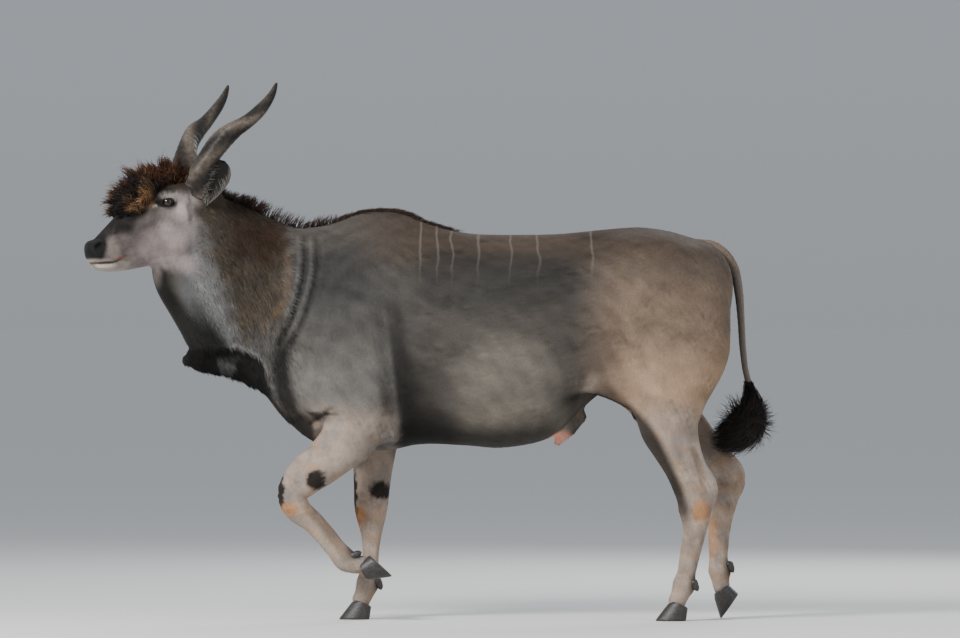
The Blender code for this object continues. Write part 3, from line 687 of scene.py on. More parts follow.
BRISKET_SHADE = [(-.56, 1.17), (-.585, 1.07), (-.59, .98), (-.572, .89), (-.54, .81), (-.492, .73)]
# A painted highlight along the back of the neck, in front of its folds.
NECK_HIGHLIGHT = [(-.572, 1.49), (-.562, 1.34), (-.6, 1.24), (-.7, 1.15)]
LIP_LINE = [(-1.52, 1.424), (-1.45, 1.424), (-1.405, 1.426), (-1.356, 1.432), (-1.3, 1.458)]

# Spots: tone, amount, place and radii. The garters of the legs have ragged edges.
GARTERS = (
    ((-.452, -.2, .566), (.046, .09, .05)), ((-.205, .09, .514), (.06, .11, .043)),
    ((-.6, -.18, .516), (.028, .09, .1)), ((-.308, .07, .46), (.02, .09, .16)))
LEG_SPOTS = (
    (ORANGE_TAN, .72, (1.08, -.18, .44), (.05, .07, .065)),
    (ORANGE_TAN, .72, (-.556, -.2, .446), (.055, .08, .042)),
    (ORANGE_TAN, .72, (-.276, .07, .414), (.036, .08, .07)),
    (ORANGE_TAN, .72, (1.14, .16, .33), (.04, .08, .19)),
    *((DARK, .8, at, (.06, .085, .065)) for at in
      ((-.195, .03, .145), (1.068, -.13, .145), (1.218, .13, .2), (-.3, -.18, .285))))
FACE_SPOTS = (
    ((.26, .21, .185), .45, (-1.372, .06, 1.488), (.045, .08, .065)),
    ((.24, .135, .065), .7, (-1.262, .09, 1.668), (.095, .12, .044)),
    ((.3, .26, .24), .5, (-1.105, .1, 1.692), (.09, .11, .024)),
    ((.28, .24, .23), .5, (-1.075, .1, 1.655), (.05, .1, .08)),
    (BROWN, .88, (-1.055, .07, 1.745), (.105, .13, .068)))
# A dark mark behind the eye, and a painted glint in front of it.
EYE_SPOTS_AND_GLINT = (
    (DARK, .66, (-1.05, .095, 1.64), (.021, .08, .09)),
    # A painted glint in front of the eye.
    (WHITE, .4, (-1.19, .085, 1.656), (.012, .08, .007)))


def mix(base, colour, amount):
    """Blends a colour over rows of colours."""
    amount = np.asarray(amount)[:, None]
    return base * (1 - amount) + np.array(colour) * amount


def layered(base, *layers):
    """A base colour with tones blended over it, each by its own amounts."""
    colour = np.tile(base, (len(layers[0][1]), 1))
    for tone, amount in layers:
        colour = mix(colour, tone, amount)
    return colour


def spot(places, at, radii, core=.35):
    """1 at a place and within the core, fading to 0 at the radii."""
    return fade(np.linalg.norm((places - np.array(at)) / np.array(radii), axis=1), 1.0, core)


def waves(places, size, seed):
    """Smooth uneven patches between -1 and 1."""
    turns = np.random.default_rng(seed)
    total = 0
    for _ in range(6):
        total = total + np.sin(places @ turns.normal(size=3) * 2 / size + turns.uniform(0, 6.3))
    return total / 3.5


def ragged(places, shift, size, seeds):
    """Places shifted a little by waves, which frays the edges of what is painted there."""
    return places + shift * np.stack([waves(places, size, seed) for seed in seeds], 1)


def streak(x, z, points, width):
    """1 on a line of the side view, fading to 0 at a width from it and at its ends."""
    line = curve(points, 6)
    station, offset, beyond = nearest_station(line, x, z)
    share = np.clip(station / (len(line) - 1), 0, 1)
    ends = np.sqrt(np.minimum(1, 5 * np.minimum(share, 1 - share)))
    return fade(np.hypot(offset, beyond), width, .3 * width) * ends


class Hide:
    """Colours at places of the straight animal, laid on one over another."""

    def __init__(self, places):
        self.places = places
        self.x, self.y, self.z = places.T
        self.side = np.abs(self.y)
        self.mirrored = np.stack([self.x, self.side, self.z], 1)
        self.grain, self.broad = waves(places, .05, 3), waves(places, .16, 5)
        self.colour = np.tile(TAUPE, (len(places), 1))

    def lay(self, tone, amount):
        """Blends a tone over the colours."""
        self.colour = mix(self.colour, tone, amount)

    def line(self, tone, amount, points, width):
        """Adds a streak of a tone."""
        self.lay(tone, amount * streak(self.x, self.z, points, width))

    def spots(self, rows, places, share=1):
        """Adds spots of tones."""
        for tone, amount, at, radii in rows:
            self.lay(tone, amount * share * spot(places, at, radii))


def coat_colour(places, normals):
    """The markings of hide and hair as a function of the place on the straight animal, with painted light and
    shade laid over them.
    """
    hide = Hide(places)
    x, side, z, grain, broad, lay = hide.x, hide.side, hide.z, hide.grain, hide.broad, hide.lay
    lay(OCHRE, .75 * fade(z + .02 * grain, 1.34, 1.5) * fade(x, -.45, .05))
    lay(TAN_BROWN, .8 * fade(x + .05 * broad, .52, .86) * fade(z, 1.56, 1.25))
    lay(THIGH, .85 * fade(x, .66, .86) * fade(z + .04 * broad, 1.18, .98))
    lay(GREY, .6 * fade(x, .02, -.2) * fade(z, 1.5, 1.3) * fade(x, -.62, -.5))
    light_chest = fade(z + .06 * broad, 1.2, .95) * fade(x, -.1, -.25)
    lay((.125, .117, .105), .7 * light_chest)
    paint_body(hide)
    paint_neck(hide)
    columns = np.maximum(fade(x, -.1, -.17), fade(x, .68, .78))
    lay(PALE, .92 * (fade(z + .03 * grain, .9, .76) * columns))
    # Painted shade on surfaces that face down, under the neck, chest and belly.
    under = fade(normals[:, 2], -.45, -.85) * fade(z, .64, .7) * fade(x, -1.0, -.9) * fade(x, .88, .76)
    lay(DARK, .88 * under)
    paint_legs(hide, columns)
    # Painted shade down the front of the brisket, under the chest between the forelegs, and where the
    # forelegs meet the brisket.
    hide.line(DARK, .85, BRISKET_SHADE, .05)
    lay(DARK, .9 * (fade(side, .085, .045) * fade(z, 1.02, .94) * fade(x, -.42, -.48)))
    lay(DARK, .85 * spot(hide.mirrored, (-.508, .1, .757), (.056, .4, .09), .6))
    paint_head(hide)
    spine = fade(side, .03, .008) * fade(z, 1.44, 1.48) * fade(x, -.45, -.36)
    lay(DARK, .8 * spine * np.interp(x, (-.4, .02, .12, .7, .85, 1.1), (1, 1, .2, .2, .8, .9)))
    mottle = waves(places, .016, 8) * waves(places, .09, 9) + .6 * waves(places, .03, 10) \
        + .5 * waves(places, .008, 15)
    return hide.colour * (1 + .11 * grain + .12 * broad + .2 * mottle)[:, None].clip(.5, 1.7)


def paint_body(hide):
    """Dark shoulder and band below the back, pale ribs and flank line, and painted light on the belly.
    Painted shadow behind the shoulder, painted shade under the belly and in the crease at the top of the
    foreleg, and painted light and shade on the folds of the neck.
    """
    x, z, broad, lay = hide.x, hide.z, hide.broad, hide.lay
    lay((.02, .02, .02), .62 * spot(hide.mirrored, (-.38, .25, 1.38), (.22, .6, .2)))
    band = fade(z + .03 * broad, 1.2, 1.32) * fade(z, 1.5, 1.43) * fade(x, -.12, .02)
    lay((.017, .017, .016), .62 * band * fade(x + .04 * broad, .66, .48))
    lay((.165, .148, .122), .58 * spot(hide.mirrored, (.31, .3, .93), (.3, .6, .27)))
    # Painted light on the lower belly, where its surface turns down and away from the light.
    belly = fade(z + .02 * broad, .9, .74) * fade(x, .06, .16) * fade(x, .6, .5)
    lay((.3, .265, .215), .72 * belly)
    # Painted shadow in a wedge behind the shoulder, crisp at the shoulder's rear edge, widening and deepening
    # downwards.
    edge = x - np.interp(z, (.7, .92, 1.12, 1.31, 1.42), (-.12, -.136, -.16, -.184, -.2))
    reach = np.interp(z, (.7, .76, .88, 1.08, 1.28), (.36, .3, .2, .11, .08))
    depth = np.interp(z, (.8, 1.05, 1.22, 1.36), (.85, .7, .4, 0))
    lay(DARK, depth * fade(edge, -.008, .014) * fade(edge, reach, .04))
    # A pale flank line, and painted shade under the belly and in the crease at the top of the foreleg.
    for line in BODY_LINES:
        hide.line(*line)
    # Painted light on the raised folds of the neck, painted shade in the grooves between them.
    for start, height in NECK_FOLDS:
        shifted = [(a + start, b) for a, b in FOLD_LINE]
        hide.line(THROAT_GREY if height > 0 else DARK, .26, shifted, .016)


def paint_neck(hide):
    """Grey throat, brown side, dark patch below the crest, painted highlight at the back of the neck. Painted
    shade on the front of the throat, dark hair and painted shade in the dewlap's pocket with a painted glint,
    and a painted highlight along the dewlap's rim.
    """
    x, side, z, grain, lay = hide.x, hide.side, hide.z, hide.grain, hide.lay
    neck = fade(x + .02 * grain, -.555, -.6) * fade(x, -1.12, -1.02)
    across = x + .45 * (z - 1.35)
    lay(NECK_BROWN, .9 * neck)
    lay((.092, .064, .041), .24 * neck * fade(waves(hide.places, .045, 21), .1, .8))
    base = fade(z + .05 * grain, 1.22, 1.1) * fade(x, -.9, -.8)
    lay((.06, .058, .055), .75 * neck * base)
    lay(THROAT_GREY, neck * fade(across + .025 * grain, -.85, -.97))
    lay(BROWN, .8 * neck * fade(z - .02 * grain, 1.38, 1.5) * fade(x, -.92, -.8))
    lay(BROWN, .8 * spot(hide.mirrored, (-.665, .12, 1.5), (.095, .2, .14)))
    # A painted highlight along the back of the neck.
    hide.line((.15, .094, .052), .26, NECK_HIGHLIGHT, .022)
    # Painted shade on the front of the throat, which faces away from the light.
    lay(DARK, .92 * (fade(side, .07, .04) * fade(z, 1.43, 1.38) * fade(across, -.88, -.95)))
    # Dark hair and painted shade below the dewlap's rim, where its far fold hangs in shadow.
    rim_x, rim_z = np.array(RIM[::-1]).T
    rim = np.interp(-x, -rim_x, rim_z)
    pocket = fade(z - rim, .004, -.008) * fade(x, -.628, -.645) * fade(x, -1.03, -.99)
    lay(DARK, .95 * pocket)
    glint = fade(x + .42 * (z - 1.0), -.86, -.852) * fade(x - .35 * (z - 1.0), -.788, -.796)
    glint = glint * fade(z, .965, .975) * fade(z, 1.05, 1.04)
    lay(THROAT_GREY, .4 * pocket * glint)
    # A painted highlight along the dewlap's rim.
    hem = .6 * fade(np.abs(z - rim - .006), .012, .004)
    lay(THROAT_GREY, hem * fade(x, -.85, -.8) * fade(x, -.6, -.65))


def paint_legs(hide, columns):
    """Dark garters behind the forearms, tan patches on hocks and knees, dark fetlocks, and painted shade on
    the upper forelegs below the body and along the near legs.
    """
    places, x, z, lay = hide.places, hide.x, hide.z, hide.lay
    blotch, tawny = waves(places, .05, 12), waves(places, .06, 14)
    low = fade(z, .84, .7) * columns
    lay((.13, .122, .118), .5 * low * fade(blotch, .05, .8))
    lay((.26, .16, .095), .45 * low * fade(tawny, .1, .8))
    # Painted shade on the upper forelegs, below the body.
    dusk = .38 * fade(z + .03 * blotch, .62, .74) * low
    lay((.11, .105, .1), dusk * fade(x, -.36, -.28) * fade(x, .1, 0))
    frayed = ragged(places, .007, .012, (31, 32, 33))
    for at, radii in GARTERS:
        lay(DARK, .94 * spot(frayed, at, radii, .72))
    hide.spots(LEG_SPOTS, places)
    near = hide.y < 0
    # Lines on the near legs, among them painted shade along the front of the hind leg and the lifted
    # foreleg's cannon.
    for tone, amount, points, width in LEG_LINES:
        hide.line(tone, amount * near, points, width)
    lay(PINK, .95 * spot(places, (.52, 0, .722), (.075, .07, .05)))


def paint_head(hide):
    """Pale cheeks, brows and lips, dark bridge of the nose, black muzzle and eye rims."""
    x, z, mirrored, grain, lay = hide.x, hide.z, hide.mirrored, hide.grain, hide.lay
    frayed = ragged(mirrored, .005, .01, (51, 52, 53))
    jaw = np.maximum(fade(z + .3 * (x + 1.05), 1.36, 1.42), fade(x, -1.13, -1.18))
    head = fade(x + .03 * grain, -.97, -1.07) * jaw
    bridge = z - np.interp(-x, (1.02, 1.127, 1.227, 1.317, 1.392, 1.45),
                           (1.783, 1.748, 1.67, 1.599, 1.543, 1.512))
    lay(CHEEK, .94 * head)
    lay(GREY, .35 * head * fade(waves(mirrored, .05, 45), .1, .9))
    lay((.075, .062, .056), .84 * head * fade(x - .8 * (z - 1.55), -1.15, -1.26))
    lay(DARK, .86 * head * fade(bridge - .012 * grain, -.075, -.03))
    lay(DARK, .55 * head * spot(frayed, (-1.32, .07, 1.58), (.105, .12, .06)))
    veins = fade(np.abs(waves(mirrored, .06, 41)), .22, .02) * fade(z, 1.62, 1.56)
    lay(GREY, .16 * head * veins)
    hide.spots(FACE_SPOTS, frayed, head)
    lay(DARK, .97 * head * spot(mirrored, (-1.152, .1, 1.664), (.056, .13, .022), .62))
    # A dark mark behind the eye and a painted glint in front of it.
    hide.spots(EYE_SPOTS_AND_GLINT, frayed, head)
    lips = fade(z + .1 * (x + 1.46), 1.456, 1.44) * fade(x, -1.26, -1.31)
    lay((.36, .31, .265), .75 * head * lips)
    lay(BROWN, .8 * head * streak(x, z, LIP_LINE, .007))
    lay(PINK, .22 * head * spot(frayed, (-1.345, .06, 1.447), (.05, .09, .012)))
    muzzle = fade(x - .3 * (z - 1.48) + .006 * grain, -1.395, -1.42) * fade(z, 1.432, 1.448)
    lay(NOSE, .97 * muzzle)
    lay(NOSE, .9 * head * fade(x, -1.452, -1.466) * fade(z, 1.425, 1.435))


# ---- materials

class Look:
    """The nodes of a material or world, before the last node that gives its surface."""

    def __init__(self, made, last='Principled BSDF'):
        made.use_nodes = True
        self.made, self.tree = made, made.node_tree
        self.last = self.tree.nodes[last]

    def fill(self, node, inputs):
        """Sets a node's inputs, or links those that are given as sockets."""
        for key, value in inputs.items():
            if isinstance(value, bpy.types.NodeSocket):
                self.tree.links.new(value, node.inputs[key])
            else:
                node.inputs[key].default_value = value

    def add(self, kind, inputs, out=0, **settings):
        """Adds a node and gives one of its outputs."""
        node = self.tree.nodes.new('ShaderNode' + kind)
        for key, value in settings.items():
            setattr(node, key, value)
        self.fill(node, inputs)
        return node.outputs[out]

    def ramp(self, source, *stops):
        """Adds a colour ramp with two stops."""
        out = self.add('ValToRGB', {'Fac': source})
        for element, (position, colour) in zip(out.node.color_ramp.elements, stops):
            element.position = position
            element.color = (*colour, 1)
        return out

    def finish(self, inputs):
        """Sets or links the last node's inputs."""
        self.fill(self.last, inputs)
        return self.made


def add_stripes(add, colour, place):
    """The coat's colour with the narrow pale stripes that run down from the back, a little wavy."""
    wave = add('TexNoise', {'Vector': place, 'Scale': 6.0})
    apart = add('SeparateXYZ', {'Vector': place}).node.outputs
    across = add('Math', {0: wave, 1: STRIPE_SWAY, 2: apart['X']}, operation='MULTIPLY_ADD')
    nearest = None
    for at in STRIPES:
        gap = add('Math', {0: across, 1: at + CENTRE[0] + STRIPE_SWAY / 2}, operation='SUBTRACT')
        gap = add('Math', {0: gap}, operation='ABSOLUTE')
        nearest = gap if nearest is None else add('Math', {0: nearest, 1: gap}, operation='MINIMUM')
    line = add('MapRange', {'Value': nearest, 'From Min': .001, 'From Max': .0075, 'To Min': STRIPE_TONE,
                            'To Max': 0}, interpolation_type='SMOOTHSTEP')
    down = add('MapRange', {'Value': apart['Z'], 'From Min': STRIPE_END, 'From Max': STRIPE_END + .24},
               interpolation_type='SMOOTHSTEP')
    amount = add('Math', {0: line, 1: down}, operation='MULTIPLY')
    pale = add('VectorMath', {0: WHITE, 'Scale': amount}, operation='SCALE')
    return add('VectorMath', {0: colour, 1: pale}, operation='ADD')


def hair_material(name, roughness, tip, root, grain=260.0, bump=.35, speckle=.28, stripes=False):
    """Coat colour from the markings, lighter at the tips of locks, with the grain of single hairs."""
    look = Look(bpy.data.materials.new(name))
    add = look.add
    coat = add('Attribute', {}, 'Color', attribute_name='coat')
    reach = add('Attribute', {}, 'Fac', attribute_name='reach')
    place = add('TexCoord', {}, 'Object')
    fine = add('TexNoise', {'Vector': place, 'Scale': grain, 'Detail': 4.0})
    shade = add('MapRange', {'Value': reach, 'To Min': root, 'To Max': tip})
    spots = add('MapRange', {'Value': fine, 'From Min': .3, 'From Max': .7,
                             'To Min': 1 - speckle, 'To Max': 1 + speckle})
    both = add('Math', {0: shade, 1: spots}, operation='MULTIPLY')
    colour = add('VectorMath', {0: coat, 'Scale': both}, operation='SCALE')
    if stripes:
        colour = add_stripes(add, colour, place)
    rough = add('Bump', {'Height': fine, 'Strength': bump, 'Distance': .002})
    return look.finish({'Base Color': colour, 'Roughness': roughness, 'Normal': rough,
                        'Sheen Weight': .04, 'Sheen Roughness': .5, 'Specular IOR Level': .09})


def eye_material():
    """A wet dark eye: iris and pupil under a clear film."""
    look = Look(bpy.data.materials.new('eyeball'))
    coat = look.add('Attribute', {}, 'Color', attribute_name='coat')
    place = look.add('TexCoord', {}, 'Object')
    fleck = look.add('TexNoise', {'Vector': place, 'Scale': 420.0, 'Detail': 3.0})
    depth = look.add('MapRange', {'Value': fleck, 'To Min': .6, 'To Max': 1.5})
    colour = look.add('VectorMath', {0: coat, 'Scale': depth}, operation='SCALE')
    return look.finish({'Base Color': colour, 'Roughness': .1, 'Specular IOR Level': .25,
                        'Coat Weight': .35, 'Coat Roughness': .03})


def claw_material():
    """Dark horn in patches that are drawn out upwards."""
    look = Look(bpy.data.materials.new('claw'))
    place = look.add('TexCoord', {}, 'Object')
    sized = look.add('Mapping', {'Vector': place, 'Scale': (1, 1, 2)})
    patches = look.add('TexNoise', {'Vector': sized, 'Scale': 90, 'Detail': 6.0})
    colour = look.ramp(patches, (.35, (.012, .011, .01)), (.68, (.036, .031, .027)))
    rough = look.add('Bump', {'Height': patches, 'Strength': .4, 'Distance': .003})
    return look.finish({'Base Color': colour, 'Roughness': .5, 'Normal': rough})


# ---- horny pieces, eyes and ears

# The horn: radius near the base and at the tip, height of the keel and of the growth rings.
HORN_RADIUS, HORN_TIP, HORN_KEEL, HORN_RING = .046, .0035, .26, .0008
# Points around each form and from end to end.
HORN_AROUND, EYE_AROUND, EYE_ROWS, CLAW_AROUND, DEWCLAW_AROUND, TAIL_AROUND = 48, 64, 48, 48, 20, 24
EAR_ROWS, EAR_COLUMNS = 36, 26


def ring_faces(count, around, flipped):
    """Triangles that join rings of points, closed by the two points that follow the rings."""
    faces = []
    last, low, high = (count - 1) * around, count * around, count * around + 1
    for i in range(0, last, around):
        for k in range(around):
            j = (k + 1) % around
            faces += [(i + k, i + j, i + around + j), (i + k, i + around + j, i + around + k)]
    for k in range(around):
        j = (k + 1) % around
        faces += [(k, low, j), (last + k, last + j, high)]
    faces = np.array(faces)
    return faces[:, ::-1] if flipped else faces


def closed(rings, flipped):
    """Points and triangles of a form through rings, with a point in the middle of each end."""
    points = np.concatenate(rings + [rings[0].mean(0)[None], rings[-1].mean(0)[None]])
    return points, ring_faces(len(rings), len(rings[0]), flipped)


def make_horn(name, side, material):
    """A horn with a keel that winds up it and close growth rings in its lower half."""
    line = curve(HORN_LINE, 24)
    angle = angles(HORN_AROUND)
    rings, worn_and_lit = [], []
    for i, centre in enumerate(line):
        t = i / (len(line) - 1)
        radius = HORN_RADIUS * min(1, 1.12 * (1 - t)) ** .66 + HORN_TIP
        radius += HORN_RING * (1 - t) * math.sin(t * 130 + 2 * math.sin(t * 19)) * fade(t, .75, .45)
        twist = 2 * math.pi * HORN_TURNS * min(t / .8, 1) + 2.2
        front, rear = (np.maximum(0, np.cos(angle - way)) ** 3 for way in (twist, twist + math.pi))
        peak = front + .5 * rear
        size = radius * (.94 + HORN_KEEL * (1 - t) ** .5 * peak)
        # How pale the keel is: partly rubbed pale, partly a painted highlight on its ridges.
        worn_and_lit.append(peak * (1 - .5 * t))
        ahead = unit(line[min(i + 1, len(line) - 1)] - line[max(i - 1, 0)])
        right = unit(np.cross(ahead, (0, 1, 0)))
        fore = np.cross(right, ahead)
        ring = centre + np.outer(np.cos(angle) * size, right) + np.outer(np.sin(angle) * size, fore)
        rings.append(ring * (1, side, 1))
    points, faces = closed(rings, side > 0)
    piece = mesh_piece('horn_sheath_' + name, bend(points, True), faces, material)
    wear_and_highlight = np.append(np.concatenate(worn_and_lit), (0, 0))
    # The paler keel: rubbed pale, and a painted highlight.
    give_attribute(piece, 'coat', layered((.016, .014, .012), ((.16, .126, .098), .65 * wear_and_highlight)))
    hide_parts('horn_' + name)


def make_eye(name, side, material):
    """The eyeball, in fine faces."""
    turn = angles(EYE_AROUND)
    flat = np.ones(EYE_AROUND)
    rings = [np.stack([math.cos(a) * np.cos(turn), math.sin(a) * flat, math.cos(a) * np.sin(turn)], 1)
             for a in np.linspace(-math.pi / 2, math.pi / 2, EYE_ROWS)[1:-1]]
    ball = np.concatenate(rings + [np.array([(0, -1, 0), (0, 1, 0)])]) * EYE_RADIUS
    place = np.array(EYE_PLACE) * (1, side, 1)
    faces = ring_faces(len(rings), EYE_AROUND, True)
    piece = mesh_piece('eyeball_' + name, bend(place + ball, True), faces, material)
    across, up = ball[:, 0] / EYE_RADIUS, ball[:, 2] / EYE_RADIUS
    give_attribute(piece, 'coat', layered(
        (.016, .01, .008),
        ((.01, .005, .003), fade(np.hypot(across, up), .66, .6)),
        ((.002, .002, .002), fade(np.hypot(across / .36, up / .2), 1.1, .9))))
    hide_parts('eye_' + name)


def ear_frame():
    """Base point, axis, facing and across of the ear on the +Y side."""
    axis = unit(np.array((.34, .36, .87)))
    facing = np.array((-.62, .78, .0))
    facing = unit(facing - axis * (facing @ axis))
    return np.array((-.985, .092, 1.675)), axis, facing, np.cross(axis, facing)


def ear_point(u, v):
    """A point of the ear's middle sheet: u from base to tip, v from -1 to 1 across."""
    base, axis, facing, across = ear_frame()
    u, v = np.broadcast_arrays(np.asarray(u, float), np.asarray(v, float))
    half = np.interp(u, (0, .12, .3, .5, .68, .82, .92, .97, 1),
                     (.02, .03, .044, .055, .058, .052, .039, .026, .006))
    cup = .03 * (1 - v * v) * (1 - .55 * u)
    return (base + axis * (EAR_LENGTH * u - .02)[..., None] + across * (half * v)[..., None]
            - facing * cup[..., None])


def make_ear(name, side, material):
    """A cupped leaf with a thin rim and a thick base."""
    u, v = np.linspace(0, 1, EAR_ROWS)[:, None], np.linspace(-1, 1, EAR_COLUMNS)[None, :]
    sheet, facing = ear_point(u, v), ear_frame()[2]
    thick = (.0012 + .0035 * (1 - v ** 4) * (1.6 - u))[..., None]
    sheets = sheet + facing * thick * .4, sheet - facing * thick
    points = np.concatenate([part.reshape(-1, 3) for part in sheets]) * (1, side, 1)
    size = EAR_ROWS * EAR_COLUMNS
    index = np.arange(size).reshape(EAR_ROWS, EAR_COLUMNS)
    faces = []
    for row in index[:-1]:
        for a in row[:-1]:
            b, c, d = a + 1, a + EAR_COLUMNS + 1, a + EAR_COLUMNS
            faces += [(a, b, c), (a, c, d), (a + size, c + size, b + size), (a + size, d + size, c + size)]
    rim = [*index[0], *index[1:, -1], *index[-1, -2::-1], *index[-2:0:-1, 0]]
    for a, b in zip(rim, rim[1:] + rim[:1]):
        faces += [(a, a + size, b + size), (a, b + size, b)]
    faces = np.array(faces)[:, ::side]
    piece = mesh_piece('ear_leaf_' + name, bend(points, True), faces, material)
    inside = np.repeat((1, 0), size)
    u, v = (np.tile(np.broadcast_to(values, index.shape).ravel(), 2) for values in (u, v))
    colour_short(piece, layered(
        (.06, .054, .049),
        (EAR_PINK, .3 * inside * fade(u, .5, .2)),
        # Painted shade over the inner face of the cup, inside its margins.
        (DARK, .95 * inside * fade(np.abs(v), .9, .6) * fade(u, .12, .3)),
        (DARK, .7 * fade(u, .9, 1))))
    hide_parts('ear_' + name)


def make_ear_hair(name, side, material):
    """Long pale hair that stands in the ear's opening, thickest on its front margin."""
    count = 420
    u = rng.uniform(.02, .8, count) ** 1.3
    v = np.where(rng.random(count) < .8, rng.uniform(.45, .98, count), rng.uniform(-.98, -.8, count))
    _, axis, facing, across = ear_frame()
    edge = np.sign(v)[:, None]
    way = unit(axis * .9 + facing * .35 - across * (edge * .55) + .22 * rng.normal(size=(count, 3)))
    long = rng.uniform(.022, .052, count) * (1.1 - .6 * u)
    t = along(4)
    paths = ear_point(u, v)[:, None] + way[:, None] * (t * long[:, None, None])
    paths = curl(paths - across * (edge[:, None] * .01 * t * t), .002, .8)
    colours = shades(count, (.03, .027, .024), (.3, .28, .25))
    paths, maps = bend(paths * (1, side, 1), True), fill_map(np.stack([u, v], 1))
    loose_locks('ear_hair_' + name, 'ear_' + name, paths, .0009, .0018, (1, .9, .6), lambda: colours, maps,
                material)


# ---- feet and tail

# Each foot: toe frame for the claws (x, y, z, tilt of the sole in degrees) and place of the dewclaws.
FEET = {
    'fore_right': ((-.29, .024, 0, 0), (-.195, .03, .14, 10)),
    'fore_left': ((-.205, -.18, .232, -137), (-.292, -.18, .276, -80)),
    'hind_left': ((.975, -.13, 0, 0), (1.068, -.13, .14, 10)),
    'hind_right': ((1.2125, .13, .0605, -55), (1.218, .13, .205, 10))}


def turned(points, place):
    """Points turned about Y by a frame's tilt and moved to its place."""
    x, y, z = points.T
    x, z = spin(x, z, math.radians(place[3]))
    return np.stack([x, y, z], 1) + place[:3]


def make_claw(name, side, sole, material):
    """One half of a cloven hoof, its wall waved by growth rings."""
    slope = math.tan(math.radians(TOE_SLOPE))
    angle = angles(CLAW_AROUND)
    along_foot = (1 - np.cos(angle)) / 2
    bulge = np.abs(np.sin(angle)) ** .8 * (.82 + .3 * along_foot)
    rings = []
    for z in (0, .002, .006, *np.linspace(.01, CORONET, 22)):
        edge = .003 * max(0, 1 - z / .006)
        toe = -.62 * CLAW_LENGTH + z / slope + edge
        heel = .38 * CLAW_LENGTH + .1 * z - edge
        wide = .047 - .08 * z - edge + .0004 * math.sin(z * 900)
        y = .005 + np.where(np.sin(angle) > 0, wide * bulge, .004 * np.sin(angle) ** 2)
        drop = 1 - .3 * along_foot ** 1.5 * (z / CORONET)
        pinch = .006 * max(0, z / CORONET - .85) / .15
        x = toe + pinch + (heel - toe - 2 * pinch) * along_foot
        rings.append(np.stack([x, side * y, z * drop], 1))
    points, faces = closed(rings, side > 0)
    points = turned(points, sole)
    points[:, 2] = np.maximum(points[:, 2], 0)
    piece = mesh_piece('hoof_' + name, points + CENTRE, faces, material)
    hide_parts('claw_' + name)


def make_dewclaw(name, side, back, material):
    """A small blunt horny knob behind the fetlock."""
    angle = angles(DEWCLAW_AROUND)
    rings = []
    for t in np.linspace(0, 1, 12):
        round_end = math.sqrt(max(.02, 1 - max(0, (t - .6) / .4, (.25 - t) / .25) ** 2))
        radius = (.017 - .006 * t) * round_end
        height = np.full(DEWCLAW_AROUND, .025 - .05 * t)
        rings.append(np.stack([radius * np.cos(angle), radius * .8 * np.sin(angle), height], 1))
    points, faces = closed(rings, True)
    x, y, z = points.T
    x, z = spin(x, z, -.6)
    points = turned(np.stack([x - .01, y + side * .022, z], 1), back)
    piece = mesh_piece('knob_' + name, points + CENTRE, faces, material)
    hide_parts('dewclaw_' + name)


def make_feet(material):
    """Two claws and two dewclaws to each foot."""
    for foot, (sole, back) in FEET.items():
        for which, side in (('left', -1), ('right', 1)):
            make_claw(f'{foot}_{which}', side, sole, material)
            make_dewclaw(f'{foot}_{which}', side, back, material)


def tail_colour(places):
    """Grey brown, dark along its front edge and paler behind."""
    x, _, z = places.T
    line = curve(TAIL, 10)
    ahead = x - np.interp(-z, -line[:, 1], line[:, 0])
    return layered((.115, .098, .082),
                   (DARK, .3 * fade(ahead, -.006, -.014) * fade(z, 1.44, 1.38)),
                   (PALE, .45 * fade(ahead, .001, .012)),
                   (TAN_BROWN, .7 * fade(z, 1.36, 1.46)))


def make_tail(material):
    """The tail's form and its short hair."""
    line = curve(TAIL, 10)
    middle = line[:, (0, 5, 1)]
    ahead = unit(np.gradient(middle, axis=0))
    up = np.stack([ahead[:, 2], 0 * ahead[:, 0], -ahead[:, 0]], 1)
    angle = angles(TAIL_AROUND)
    rings = []
    for centre, top, row in zip(middle, up, line):
        reach = np.where(np.sin(angle) > 0, row[3], row[4])
        across = np.outer(np.cos(angle) * row[2], (0, 1, 0))
        rings.append(centre + across + np.outer(np.sin(angle) * reach, top))
    points, faces = closed(rings, True)
    piece = mesh_piece('tail_core', points + CENTRE, faces, material)
    colour_short(piece, tail_colour(points))
    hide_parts('tail')
    count = 5000
    hair = coat_piece('coat_tail', Skin(piece, points), count, lambda p: np.ones(len(p)), .016, .0018, .16,
                      material, 'leg_hair', lie=lambda p: np.tile((.05, 0, -1.0), (len(p), 1)),
                      colour=tail_colour, vary=.08)
    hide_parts('tail')


# ---- long hair

def curl(paths, size, turns):
    """Waves that grow towards the tips, each lock its own way."""
    count, steps = paths.shape[:2]
    t = along(steps)
    phase = rng.uniform(0, 2 * math.pi, (count, 1, 3))
    pace = rng.uniform(.6, 1.4, (count, 1, 3)) * turns * 2 * math.pi
    return paths + size * t * (np.sin(pace * t + phase) - np.sin(phase))


def shades(count, dark, light, rare=None, share=0.0):
    """A colour for each lock between two, with a few in a third."""
    blend = rng.random((count, 1)) ** 1.5
    colours = np.array(dark) * (1 - blend) + np.array(light) * blend
    if rare is not None:
        colours[rng.random(count) < share] = rare
    return colours


def gather(real, number):
    """Some roots that lead clumps, and for each root the number of the clump nearest to it."""
    leaders = rng.integers(0, len(real), number)
    return leaders, np.argmin(((real[:, None] - real[leaders][None]) ** 2).sum(-1), 1)


